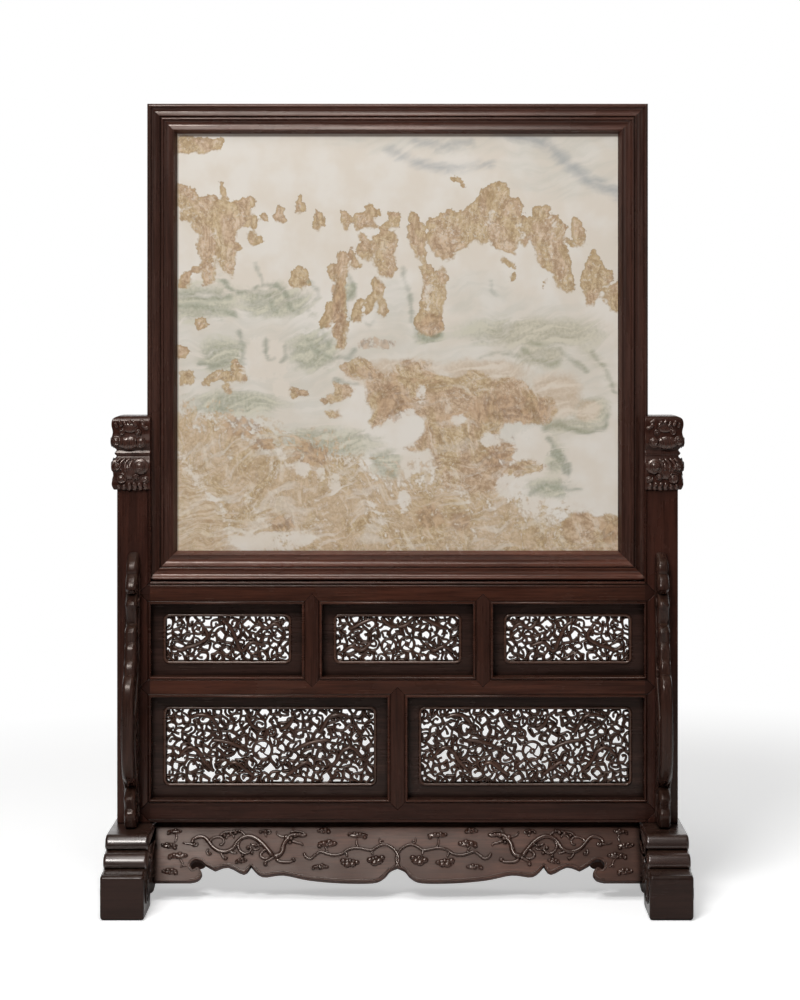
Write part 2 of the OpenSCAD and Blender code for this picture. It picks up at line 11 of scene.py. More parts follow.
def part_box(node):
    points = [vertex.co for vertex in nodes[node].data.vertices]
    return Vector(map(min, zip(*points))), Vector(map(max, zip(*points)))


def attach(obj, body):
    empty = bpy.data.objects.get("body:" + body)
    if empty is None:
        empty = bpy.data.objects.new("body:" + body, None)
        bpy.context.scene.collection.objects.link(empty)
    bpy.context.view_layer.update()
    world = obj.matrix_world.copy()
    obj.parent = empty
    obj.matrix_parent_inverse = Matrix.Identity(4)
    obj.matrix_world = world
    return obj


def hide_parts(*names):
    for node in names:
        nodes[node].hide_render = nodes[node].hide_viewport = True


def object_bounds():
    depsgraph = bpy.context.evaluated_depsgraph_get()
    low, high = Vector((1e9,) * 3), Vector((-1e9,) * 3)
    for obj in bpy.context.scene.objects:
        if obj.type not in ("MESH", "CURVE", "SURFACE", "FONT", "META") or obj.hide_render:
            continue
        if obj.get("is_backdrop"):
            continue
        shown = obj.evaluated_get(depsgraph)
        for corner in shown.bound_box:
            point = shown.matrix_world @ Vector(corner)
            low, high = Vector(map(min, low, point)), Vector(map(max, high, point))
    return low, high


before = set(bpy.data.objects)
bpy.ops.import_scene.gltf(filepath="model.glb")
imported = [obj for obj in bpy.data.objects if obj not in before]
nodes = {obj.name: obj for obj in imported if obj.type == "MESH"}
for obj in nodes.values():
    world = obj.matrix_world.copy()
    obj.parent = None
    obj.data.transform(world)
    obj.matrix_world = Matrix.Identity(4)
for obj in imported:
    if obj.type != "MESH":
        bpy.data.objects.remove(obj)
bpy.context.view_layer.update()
mm = 0.001
print("stage: frame loaded")


# Shader helpers
def addNode(tree, kind, settings=None, inputs=None):
    node = tree.nodes.new(kind)
    for key, value in (settings or {}).items():
        setattr(node, key, value)
    for key, value in (inputs or {}).items():
        if isinstance(value, bpy.types.NodeSocket):
            tree.links.new(value, node.inputs[key])
        else:
            node.inputs[key].default_value = value
    return node


def solid(colour):
    return (*colour, 1.0)


def mixColours(tree, factor, first, second):
    inputs = {0: factor, 6: first, 7: second}
    return addNode(tree, "ShaderNodeMix", {"data_type": "RGBA"}, inputs).outputs[2]


def mixValues(tree, factor, first, second):
    return addNode(tree, "ShaderNodeMix", None, {0: factor, 2: first, 3: second}).outputs[0]


def maths(tree, operation, first, second=0.0, clamp=False):
    settings = {"operation": operation, "use_clamp": clamp}
    return addNode(tree, "ShaderNodeMath", settings, {0: first, 1: second}).outputs[0]


def times(tree, first, second):
    return maths(tree, "MULTIPLY", first, second)


def remap(tree, value, low, high, outLow=0.0, outHigh=1.0):
    settings = {"interpolation_type": "SMOOTHSTEP"}
    inputs = {"Value": value, "From Min": low, "From Max": high, "To Min": outLow, "To Max": outHigh}
    return addNode(tree, "ShaderNodeMapRange", settings, inputs).outputs["Result"]


def noise(tree, vector, scale, detail=2.0, distortion=0.0):
    stretched = addNode(tree, "ShaderNodeMapping", None, {"Vector": vector, "Scale": scale})
    inputs = {"Vector": stretched.outputs["Vector"], "Scale": 1.0, "Detail": detail, "Distortion": distortion}
    return addNode(tree, "ShaderNodeTexNoise", None, inputs).outputs["Fac"]


def split(tree, vector):
    return addNode(tree, "ShaderNodeSeparateXYZ", None, {0: vector}).outputs


def newGroup(name, inputs, outputs):
    group = bpy.data.node_groups.new(name, "ShaderNodeTree")
    for label, kind in inputs:
        group.interface.new_socket(name=label, in_out="INPUT", socket_type="NodeSocket" + kind)
    for label, kind in outputs:
        group.interface.new_socket(name=label, in_out="OUTPUT", socket_type="NodeSocket" + kind)
    return group, addNode(group, "NodeGroupInput"), addNode(group, "NodeGroupOutput")


# What all the wood shares: scales are per metre along and across the grain, lengths are in mm
woodLook = {
    "broad": (5.0, 70.0, 70.0),
    "fibre": (24.0, 620.0, 620.0),
    "cloud": (18.0, 26.0, 26.0),
    "pores": (70.0, 1500.0, 1500.0),
    "stain": (22.0, 40.0, 40.0),
    "speck": (160.0, 160.0, 160.0),
    "poreTone": (0.006, 0.003, 0.0025),
    "poreShade": 0.45,
    # Colour of the grime and painted shade in hollows
    "grimeTone": (0.008, 0.0045, 0.0035),
    "dustTone": (0.2, 0.14, 0.085),
    "wornTone": (0.019, 0.0118, 0.0098),
    "wornShare": 0.5,
    "wornShine": 0.22,
    "wornOver": 2.0,
    "endsOver": 0.3,
    "bump": 0.1,
}


# Wood figure, with the grain along the vector's X
def makeWoodGroup():
    tree, start, end = newGroup(
        "woodGrain",
        [("Vector", "Vector"), ("Light", "Color"), ("Dark", "Color")],
        [("Color", "Color"), ("Roughness", "Float"), ("Height", "Float")],
    )
    along = start.outputs["Vector"]
    broad = noise(tree, along, woodLook["broad"], 3.0, 0.7)
    fibre = noise(tree, along, woodLook["fibre"], 2.0)
    cloud = noise(tree, along, woodLook["cloud"], 3.0)
    pores = remap(tree, noise(tree, along, woodLook["pores"], 1.0), 0.6, 0.74)
    figure = maths(tree, "ADD", times(tree, broad, 0.6), times(tree, fibre, 0.4))
    tone = mixColours(tree, remap(tree, figure, 0.34, 0.66), start.outputs["Dark"], start.outputs["Light"])
    tone = mixColours(tree, times(tree, pores, woodLook["poreShade"]), tone, solid(woodLook["poreTone"]))
    tree.links.new(tone, end.inputs["Color"])
    sheen = maths(tree, "ADD", remap(tree, cloud, 0.3, 0.7, 0.0, 0.12), times(tree, fibre, 0.08))
    tree.links.new(sheen, end.inputs["Roughness"])
    tree.links.new(maths(tree, "SUBTRACT", fibre, pores), end.inputs["Height"])
    return tree


# Grime and painted shade in the hollows, where ambient occlusion darkens the colour, and pale dust on ledges
def makeGrimeAndShadeGroup():
    tree, start, end = newGroup(
        "patina",
        [("Color", "Color"), ("Reach", "Float"), ("Dust", "Float"), ("Shut", "Float"), ("Clear", "Float")],
        [("Color", "Color"), ("Open", "Float")],
    )
    inputs = {"Distance": start.outputs["Reach"]}
    occlusion = addNode(tree, "ShaderNodeAmbientOcclusion", {"samples": 6}, inputs).outputs["AO"]
    openness = remap(tree, occlusion, start.outputs["Shut"], start.outputs["Clear"])
    facing = split(tree, addNode(tree, "ShaderNodeNewGeometry").outputs["Normal"])["Z"]
    place = addNode(tree, "ShaderNodeTexCoord").outputs["Object"]
    speck = noise(tree, place, woodLook["speck"], 3.0)
    ledge = times(tree, remap(tree, facing, 0.35, 0.9), remap(tree, speck, 0.35, 0.65))
    ledge = maths(tree, "MULTIPLY", ledge, start.outputs["Dust"], True)
    # Grime and painted shade: the colour darkens where the surface is occluded
    grimedAndShaded = mixColours(tree, openness, solid(woodLook["grimeTone"]), start.outputs["Color"])
    dusted = mixColours(tree, ledge, grimedAndShaded, solid(woodLook["dustTone"]))
    tree.links.new(dusted, end.inputs["Color"])
    tree.links.new(openness, end.inputs["Open"])
    return tree


woodGroup = makeWoodGroup()
grimeAndShadeGroup = makeGrimeAndShadeGroup()

# The light and dark of each wood's figure
woodTones = {
    # The three frame tones differ by how the light falls: top and lower are painted lighter than the stiles'
    # frame tone
    "frame": ((0.058, 0.0245, 0.0175), (0.028, 0.0118, 0.0085)),
    "top": ((0.084, 0.032, 0.022), (0.04, 0.0155, 0.0106)),
    "lower": ((0.125, 0.043, 0.027), (0.06, 0.0205, 0.013)),
    "stand": ((0.041, 0.0174, 0.0122), (0.02, 0.0083, 0.0058)),
    "post": ((0.05, 0.0165, 0.0108), (0.024, 0.0078, 0.0051)),
    "head": ((0.058, 0.0215, 0.0145), (0.036, 0.0135, 0.0092)),
    "rail": ((0.068, 0.0225, 0.0132), (0.029, 0.0098, 0.0059)),
    # low is a darker copy of the rail wood for the bottom rail: painted shade against the floor's reflected
    # light
    "low": ((0.042, 0.0158, 0.0112), (0.019, 0.0072, 0.0051)),
    "strut": ((0.05, 0.0185, 0.0122), (0.022, 0.0083, 0.0056)),
    "panel": ((0.04, 0.019, 0.0145), (0.017, 0.0078, 0.0058)),
    "apron": ((0.11, 0.045, 0.03), (0.045, 0.0185, 0.0125)),
    "carved": ((0.07, 0.0295, 0.0205), (0.034, 0.0145, 0.01)),
    # pierced is a lighter copy of the panel wood: painted light on the tops of the openwork strokes
    "pierced": ((0.082, 0.037, 0.0245), (0.038, 0.017, 0.0112)),
}

# The finish of each kind of member
woodFinishes = {
    # The top and bottom bars take lighter copies of the frame wood: painted light from above on their
    # mouldings
    "frameAcross": {"tone": "top", "shine": 0.42},
    "frameLower": {"tone": "lower", "shine": 0.52},
    "frameUpright": {"tone": "frame", "grain": "Z", "shine": 0.45},
    "standUpright": {"tone": "stand", "grain": "Z"},
    "postUpright": {"tone": "post", "grain": "Z"},
    "footAcross": {
        "tone": "stand", "rough": 0.16, "relief": 0.05, "shine": 1.0, "gleam": (1.0, 0.95, 0.92),
        "dull": 41.0,  # height below which the polish is worn
    },
    "railAcross": {"tone": "rail", "reach": 3.0, "ends": 233.5},  # beyond its ends a rail has the post's tone
    # The bottom rail is painted darker than the other rails: painted shade
    "railLow": {"tone": "low", "reach": 3.0, "shine": 0.17, "ends": 233.5},
    "railUpright": {"tone": "strut", "grain": "Z", "shine": 0.2},
    "panelAcross": {"tone": "panel", "reach": 7.0, "dust": 0.25},
    "apronAcross": {
        # The apron's hollows reach far and darken early: painted shade round its relief
        "tone": "apron", "rough": 0.34, "reach": 8.0, "relief": 0.4, "shine": 0.45, "grime": (0.45, 0.95),
        "mottled": 0.7,
        "fade": (60.0, 215.0, 0.5),  # painted sheen: where along X the polish falls off as the light weakens towards the right end, and to what share
    },
    "apronCarved": {"tone": "carved", "rough": 0.16, "reach": 3.0, "relief": 0.1, "shine": 0.88},
    # The openwork is painted lighter than its board: painted light on the strokes
    "panelCarved": {"tone": "pierced", "rough": 0.15, "reach": 5.0, "dust": 0.1, "shine": 0.7},
    "headCarved": {"tone": "head", "grain": "Z", "rough": 0.16, "reach": 3.0, "relief": 0.1, "shine": 0.9},
}


def woodMaterial(
    name, tone, grain="X", rough=0.15, reach=4.0, dust=0.06, relief=0.2, shine=0.3, grime=(0.25, 0.85),
    mottled=0.0, ends=None, dull=None, fade=None, gleam=(1.0, 0.88, 0.8),
):
    material = bpy.data.materials.new(name)
    material.use_nodes = True
    tree = material.node_tree
    shader = tree.nodes["Principled BSDF"]
    light, dark = (solid(colour) for colour in woodTones[tone])
    place = addNode(tree, "ShaderNodeTexCoord").outputs["Object"]
    axes = split(tree, place)
    order = {"X": (0, 1, 2), "Z": (2, 0, 1)}[grain]
    turned = addNode(tree, "ShaderNodeCombineXYZ", None, {i: axes[k] for i, k in enumerate(order)}).outputs[0]
    inputs = {"Vector": turned, "Light": light, "Dark": dark}
    figure = addNode(tree, "ShaderNodeGroup", {"node_tree": woodGroup}, inputs).outputs
    colour = figure["Color"]
    if mottled:
        stain = remap(tree, noise(tree, place, woodLook["stain"], 4.0), 0.4, 0.62, 0.0, mottled)
        colour = mixColours(tree, stain, colour, dark)
    if dull:
        wornHeights = (dull * mm, (dull + woodLook["wornOver"]) * mm)
        worn = remap(tree, axes[2], *wornHeights, woodLook["wornShare"], 0.0)
        colour = mixColours(tree, worn, colour, solid(woodLook["wornTone"]))
    if ends:
        outward = maths(tree, "ABSOLUTE", axes[0])
        beyond = remap(tree, outward, ends * mm, (ends + woodLook["endsOver"]) * mm)
        colour = mixColours(tree, beyond, colour, solid(woodTones["post"][1]))
    # Grime and painted shade darken the hollows, and dust settles on ledges
    inputs = {"Color": colour, "Reach": reach * mm, "Dust": dust, "Shut": grime[0], "Clear": grime[1]}
    patina = addNode(tree, "ShaderNodeGroup", {"node_tree": grimeAndShadeGroup}, inputs).outputs
    tree.links.new(patina["Color"], shader.inputs["Base Color"])
    tree.links.new(maths(tree, "ADD", figure["Roughness"], rough), shader.inputs["Roughness"])
    inputs = {"Strength": relief, "Distance": woodLook["bump"] * mm, "Height": figure["Height"]}
    bump = addNode(tree, "ShaderNodeBump", None, inputs)
    tree.links.new(bump.outputs["Normal"], shader.inputs["Normal"])
    # The polish drops in the hollows too: painted shade on the reflections
    polish = times(tree, patina["Open"], shine)
    if dull:
        polish = times(tree, polish, remap(tree, axes[2], *wornHeights, woodLook["wornShine"], 1.0))
    # Painted sheen: the polish falls off along X, standing in for light that weakens away from the lamps
    if fade:
        begin, finish, left = fade
        polish = times(tree, polish, remap(tree, axes[0], begin * mm, finish * mm, 1.0, left))
    tree.links.new(polish, shader.inputs["Specular IOR Level"])
    shader.inputs["Specular Tint"].default_value = solid(gleam)
    return material


wood = {name: woodMaterial(name, **finish) for name, finish in woodFinishes.items()}
print("stage: wood materials")

# Mesh helpers: lengths in mm, angles in degrees
meshing = {"merge": 0.004, "flat": 1.0, "shapedFlat": 0.1, "room": 2.4, "sharp": 40, "cornered": 30}


def pieceName(node):
    first, *others = node.split("_")
    return first + "".join(word.capitalize() for word in others)


def addPiece(name, mesh, body, slot, material, *replaced):
    piece = bpy.data.objects.new(name, mesh)
    bpy.context.collection.objects.link(piece)
    mesh.materials.clear()
    mesh.materials.append(material)
    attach(piece, body)
    if replaced:
        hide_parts(*replaced)
    return piece


def finishMesh(name, bm, sharp=meshing["sharp"]):
    for face in bm.faces:
        face.smooth = True
    for edge in bm.edges:
        edge.smooth = len(edge.link_faces) == 2 and edge.calc_face_angle() < math.radians(sharp)
    mesh = bpy.data.meshes.new(name)
    bm.to_mesh(mesh)
    bm.free()
    return mesh


def cleanCopy(node, flat=meshing["flat"]):
    bm = bmesh.new()
    bm.from_mesh(nodes[node].data)
    bmesh.ops.remove_doubles(bm, verts=bm.verts[:], dist=meshing["merge"] * mm)
    bmesh.ops.dissolve_limit(bm, angle_limit=math.radians(flat), verts=bm.verts[:], edges=bm.edges[:])
    return bm


# Is there room for a bevel on both sides of the edge
def roomy(edge, width):
    return all(face.calc_area() / edge.calc_length() > meshing["room"] * width for face in edge.link_faces)


def softened(node, width, segments, shape):
    bm = cleanCopy(node, meshing["shapedFlat"]) if shape else cleanCopy(node)
    if shape:
        shape(bm)
    picked = [
        edge
        for edge in bm.edges
        if len(edge.link_faces) == 2
        and edge.calc_face_angle_signed(0.0) > math.radians(meshing["cornered"])
        and roomy(edge, width)
    ]
    bmesh.ops.bevel(
        bm,
        geom=picked,
        offset=width,
        offset_type="OFFSET",
        segments=segments,
        profile=0.5,
        affect="EDGES",
        material=-1,
        clamp_overlap=False,
    )
    return bm


def softPiece(node, width, body, slot, material, segments=2, shape=None):
    name = pieceName(node)
    mesh = finishMesh(name, softened(node, width * mm, segments, shape))
    piece = addPiece(name, mesh, body, slot, material, node)
    even = piece.modifiers.new("even", "WEIGHTED_NORMAL")
    even.keep_sharp = True
    return piece


# Drawing helpers: flat paths in mm
def smoothPath(points, steps=5):
    spots = [Vector(p) for p in points]
    path = []
    for i in range(len(spots) - 1):
        a, b, c, d = spots[max(i - 1, 0)], spots[i], spots[i + 1], spots[min(i + 2, len(spots) - 1)]
        square = 2 * a - 5 * b + 4 * c - d
        cube = 3 * b - a - 3 * c + d
        for k in range(steps):
            t = k / steps
            path.append(0.5 * (2 * b + (c - a) * t + square * t * t + cube * t**3))
    path.append(spots[-1])
    return path


def spiral(centre, outer, inner, begin, turns, steps=14):
    count = max(6, int(abs(turns) * steps))
    path = []
    for i in range(count + 1):
        t = i / count
        angle = begin + turns * t * math.tau
        reach = outer + (inner - outer) * t
        path.append(Vector((centre[0] + reach * math.cos(angle), centre[1] + reach * math.sin(angle))))
    return path


# A stroke is a path in metres, its half-widths and whether it closes
def evenStroke(path, width, closed=False):
    return path, [width * mm] * len(path), closed


def taperedStroke(path, first, last):
    count = len(path)
    widths = [first + (last - first) * i / max(count - 1, 1) for i in range(count)]
    for i, share in ((0, 0.4), (-1, 0.4), (1, 0.85), (-2, 0.85)):
        widths[i] *= share
    return path, [width * mm for width in widths], False


def strokeMesh(name, strokes):
    line = bpy.data.curves.new(name, "CURVE")
    line.dimensions = "3D"
    line.bevel_depth = 1.0
    line.bevel_resolution = 2
    line.use_fill_caps = True
    for path, widths, closed in strokes:
        spline = line.splines.new("POLY")
        spline.points.add(len(path) - 1)
        spline.use_cyclic_u = closed
        for point, place, width in zip(spline.points, path, widths):
            point.co = (*place, 1.0)
            point.radius = width
    holder = bpy.data.objects.new(name, line)
    mesh = bpy.data.meshes.new_from_object(holder)
    bpy.data.objects.remove(holder)
    bpy.data.curves.remove(line)
    return mesh


# Flattened balls: each has its place, the way it faces, two radii and its height
def addBumps(bm, bumps):
    for place, facing, wide, tall, height in bumps:
        turn = facing.to_track_quat("Z", "Y").to_matrix().to_4x4()
        matrix = Matrix.Translation(place) @ turn @ Matrix.Diagonal((wide, tall, height, 1.0))
        bmesh.ops.create_icosphere(bm, subdivisions=2, radius=1.0, matrix=matrix)


def withBumps(mesh, bumps):
    bm = bmesh.new()
    bm.from_mesh(mesh)
    addBumps(bm, bumps)
    for face in bm.faces:
        face.smooth = True
    bm.to_mesh(mesh)
    bm.free()
    return mesh


def castTree(piece, bumps=()):
    bm = bmesh.new()
    bm.from_mesh(piece.data)
    addBumps(bm, bumps)
    tree = BVHTree.FromBMesh(bm)
    bm.free()
    return tree


# Lays a flat drawing on a surface: spots are where each point of the path starts its ray
def drape(tree, spots, direction, lift):
    path = []
    for spot in spots:
        hit, normal, _, _ = tree.ray_cast(spot, direction)
        if hit is not None:
            path.append(hit + normal * lift)
    return path if len(path) > 3 else None


# Moulded frame: each point is the distance from the outer edge and the depth behind the front
frameBars = {
    "face": 28.5,
    "sharp": 34,
    "boardEdge": 0.5,
    "section": [
        (0, 13), (0, 2.4), (0.3, 1.2), (1.0, 0.35), (2.0, 0), (2.9, 0.2), (3.5, 0.7), (3.9, 1.6),
        (4.9, 2.4), (6.4, 2.75), (8.1, 2.45), (9.6, 1.7), (10.8, 0.8), (11.5, 0.2), (11.9, 0.3),
        (12.2, 1.5), (12.7, 1.65), (13.1, 0.9), (13.7, 0.35), (14.4, 0.2), (15.1, 0.45), (15.5, 1.1),
        (15.9, 1.9), (17.0, 2.55), (18.8, 2.85), (20.7, 2.55), (22.4, 1.7), (23.8, 0.8), (24.6, 0.25),
        (25.1, 0.35), (26.3, 1.9), (27.4, 3.8), (28.1, 4.9), (28.5, 5.1), (28.5, 13), (28.5, 25.2),
        (27.7, 26), (0.8, 26), (0, 25.2),
    ],
}
frameLow = Vector((min(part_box(n)[0][i] for n in ("frame_left_stile", "frame_bottom")) for i in range(3)))
frameHigh = Vector((max(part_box(n)[1][i] for n in ("frame_right_stile", "frame_top")) for i in range(3)))


# A bar lies along one axis, at the low or the far side of the other, and its mitred ends mirror each other
def frameBar(name, along, across, far):
    bm = bmesh.new()
    section = []
    for inset, deep in frameBars["section"]:
        spot = [0.0, frameLow.y + deep * mm, 0.0]
        spot[along] = frameLow[along] + inset * mm
        spot[across] = frameHigh[across] - inset * mm if far else frameLow[across] + inset * mm
        section.append(bm.verts.new(spot))
    made = bmesh.ops.extrude_face_region(bm, geom=[bm.faces.new(section)], use_keep_orig=True)
    for item in made["geom"]:
        if isinstance(item, bmesh.types.BMVert):
            item.co[along] = frameLow[along] + frameHigh[along] - item.co[along]
    bmesh.ops.recalc_face_normals(bm, faces=bm.faces[:])
    if bm.calc_volume(signed=True) < 0:  # the recalculation can turn a hollow section inside out
        bmesh.ops.reverse_faces(bm, faces=bm.faces[:])
    return finishMesh(name, bm, frameBars["sharp"])


for name, node, along, far, finish in (
    ("frameTop", "frame_top", 0, True, "frameAcross"),
    ("frameBottom", "frame_bottom", 0, False, "frameLower"),
    ("frameLeft", "frame_left_stile", 2, False, "frameUpright"),
    ("frameRight", "frame_right_stile", 2, True, "frameUpright"),
):
    addPiece(name, frameBar(name, along, 2 - along, far), "screen", "frame_wood", wood[finish], node)
for node in ("back_board", "upper_batten", "lower_batten"):
    softPiece(node, frameBars["boardEdge"], "screen", "frame_wood", wood["frameAcross"])
print("stage: frame")

# Outlines of the rocks in the stone, drawn in units from the upper left corner of the visible stone
rockOutlines = [
    [(-6, 3), (28, 4), (45, 6), (44, 13), (30, 18), (-6, 18)],
    [(-4, 50), (9, 51), (17, 57), (20, 66), (14, 72), (2, 72), (-4, 72)],
    [
        (3, 79), (10, 75), (20, 69), (30, 62), (38, 62), (44, 66), (52, 69), (60, 67), (66, 64),
        (72, 63), (78, 68), (74, 74), (72, 80), (80, 84), (77, 93), (66, 92), (56, 96), (58, 108),
        (63, 112), (55, 120), (57, 130), (55, 141), (47, 136), (42, 130), (40, 120), (37, 134),
        (34, 148), (26, 150), (26, 136), (16, 138), (12, 150), (2, 154), (2, 146), (12, 136), (18, 132),
        (24, 132), (22, 118), (22, 108), (26, 100), (18, 97), (15, 90), (18, 86), (4, 87),
    ],
    [(42, 49), (45, 50), (48, 61), (51, 70), (46, 68), (45, 60)],
    [(71, 98), (78, 100), (85, 106), (80, 110), (74, 109), (72, 104)],
    [(83, 80), (88, 79), (89, 86), (86, 86)],
    [(95, 82), (99, 79), (101, 71), (106, 76), (107, 87), (102, 87)],
    [(119, 78), (119, 74), (122.5, 61), (126, 73), (125, 78)],
    [(138, 79), (140, 76), (146, 84), (147, 91), (141, 94), (136, 92)],
    [(111, 146), (114, 138), (120, 134), (128, 136), (131, 146), (133, 150), (126, 154), (114, 150)],
    [(163, 77), (168, 78), (173, 87), (174, 90), (169, 95), (164, 88)],
    [
        (178, 82), (184, 82), (188, 80), (187, 72), (192, 70), (201, 77), (200, 82), (194, 84),
        (200, 92), (192, 92), (185, 92), (180, 96), (178, 90),
    ],
    [(183, 100), (187, 100), (192, 110), (198, 118), (192, 125), (184, 122), (180, 118)],
    [(211, 79), (221, 78), (221, 92), (212, 92)],
    [
        (204, 92), (209, 90), (213, 98), (218, 98), (219, 112), (216, 120), (218, 132), (216, 138),
        (212, 142), (204, 140), (198, 130), (200, 118), (196, 114), (196, 102), (204, 100),
    ],
    [
        (197, 142), (202, 146), (206, 154), (202, 164), (194, 170), (192, 179), (188, 180), (189, 171),
        (195, 161),
    ],
    [(180, 166), (186, 168), (184, 178), (182, 186), (175, 187), (175, 178)],
    [(201, 162), (207, 168), (211, 176), (206, 182), (201, 178)],
    [
        (160, 122), (164, 118), (170, 120), (172, 114), (176, 122), (181, 131), (178, 134), (174, 126),
        (169, 130), (168, 148), (167, 162), (168, 180), (170, 188), (167, 200), (166, 214), (162, 214),
        (159, 206), (156, 200), (158, 190), (153, 185), (152, 194), (144, 193), (143, 188), (146, 182),
        (148, 172), (156, 164), (158, 150), (152, 142), (150, 136), (154, 131), (160, 130),
    ],
    [
        (232, 80), (238, 80), (244, 90), (248, 96), (248, 104), (246, 112), (249, 120), (240, 122),
        (236, 116), (232, 110), (231, 98),
    ],
    [
        (243, 134), (250, 130), (256, 138), (266, 134), (270, 142), (270, 148), (266, 150), (268, 164),
        (262, 172), (264, 186), (265, 194), (260, 200), (254, 201), (244, 200), (238, 194), (239, 186),
        (244, 176), (245, 160), (247, 146),
    ],
    [
        (251, 92), (253, 86), (262, 83), (268, 78), (274, 78), (280, 79), (290, 75), (296, 70),
        (302, 64), (306, 56), (312, 51), (320, 48), (328, 49), (331, 56), (330, 62), (334, 66),
        (339, 66), (343, 74), (343, 80), (342, 87), (347, 80), (350, 84), (357, 84), (357, 76),
        (364, 72), (371, 75), (373, 82), (377, 80), (383, 86), (388, 92), (386, 100), (383, 104),
        (388, 112), (391, 122), (392, 134), (394, 142), (399, 150), (396, 157), (388, 156), (380, 150),
        (378, 140), (372, 137), (364, 132), (360, 124), (358, 112), (352, 107), (348, 112), (342, 107),
        (338, 110), (336, 118), (330, 118), (322, 115), (314, 112), (312, 104), (304, 108), (298, 104),
        (292, 106), (290, 114), (282, 115), (276, 118), (274, 124), (266, 126), (260, 122), (254, 114),
        (251, 104),
    ],
    [
        (394, 86), (397, 83), (402, 88), (406, 96), (409, 104), (406, 110), (400, 112), (396, 106),
        (396, 96),
    ],
    [
        (412, 124), (418, 121), (424, 128), (427, 136), (433, 138), (435, 146), (430, 150), (424, 152),
        (420, 162), (416, 170), (410, 170), (408, 160), (404, 152), (404, 144), (408, 132),
    ],
    [(426, 156), (434, 150), (446, 146), (446, 178), (434, 176), (430, 166)],
    [(19, 186), (24, 184), (31, 190), (29, 193), (22, 194)],
    [
        (26, 250), (30, 243), (38, 238), (46, 236), (54, 238), (57, 228), (61, 226), (66, 236),
        (68, 246), (66, 248), (60, 245), (50, 246), (40, 244), (34, 248),
    ],
    [(4, 240), (12, 236), (16, 244), (14, 250), (4, 250)],
    [(46, 252), (51, 250), (55, 257), (50, 259)],
    [(-4, 214), (8, 213), (11, 217), (6, 221), (-4, 221)],
    [(110, 254), (116, 253), (128, 258), (130, 261), (116, 263), (112, 258)],
    [
        (159, 250), (168, 249), (174, 256), (172, 262), (160, 268), (146, 270), (144, 266), (152, 262),
        (158, 258),
    ],
    [(148, 278), (160, 277), (162, 281), (152, 283)],
    [
        (164, 232), (172, 230), (182, 224), (190, 228), (196, 234), (206, 240), (208, 246), (196, 244),
        (170, 240),
    ],
    [
        (190, 248), (200, 246), (212, 244), (218, 232), (226, 227), (240, 229), (252, 229), (256, 240),
        (270, 246), (284, 244), (292, 238), (304, 240), (316, 246), (330, 244), (344, 248), (356, 258),
        (366, 266), (374, 266), (380, 276), (374, 284), (368, 290), (352, 290), (340, 287), (328, 289),
        (320, 298), (322, 305), (332, 309), (337, 318), (332, 326), (322, 325), (320, 332), (338, 330),
        (356, 326), (366, 330), (360, 336), (340, 340), (330, 352), (300, 362), (270, 354), (258, 338),
        (256, 322), (252, 313), (236, 316), (226, 314), (240, 306), (248, 298), (248, 285), (238, 279),
        (230, 281), (222, 277), (210, 281), (208, 288), (196, 294), (192, 286), (196, 276), (190, 266),
    ],
    [(385, 386), (404, 378), (418, 384), (428, 380), (446, 386), (446, 420), (380, 420)],
]

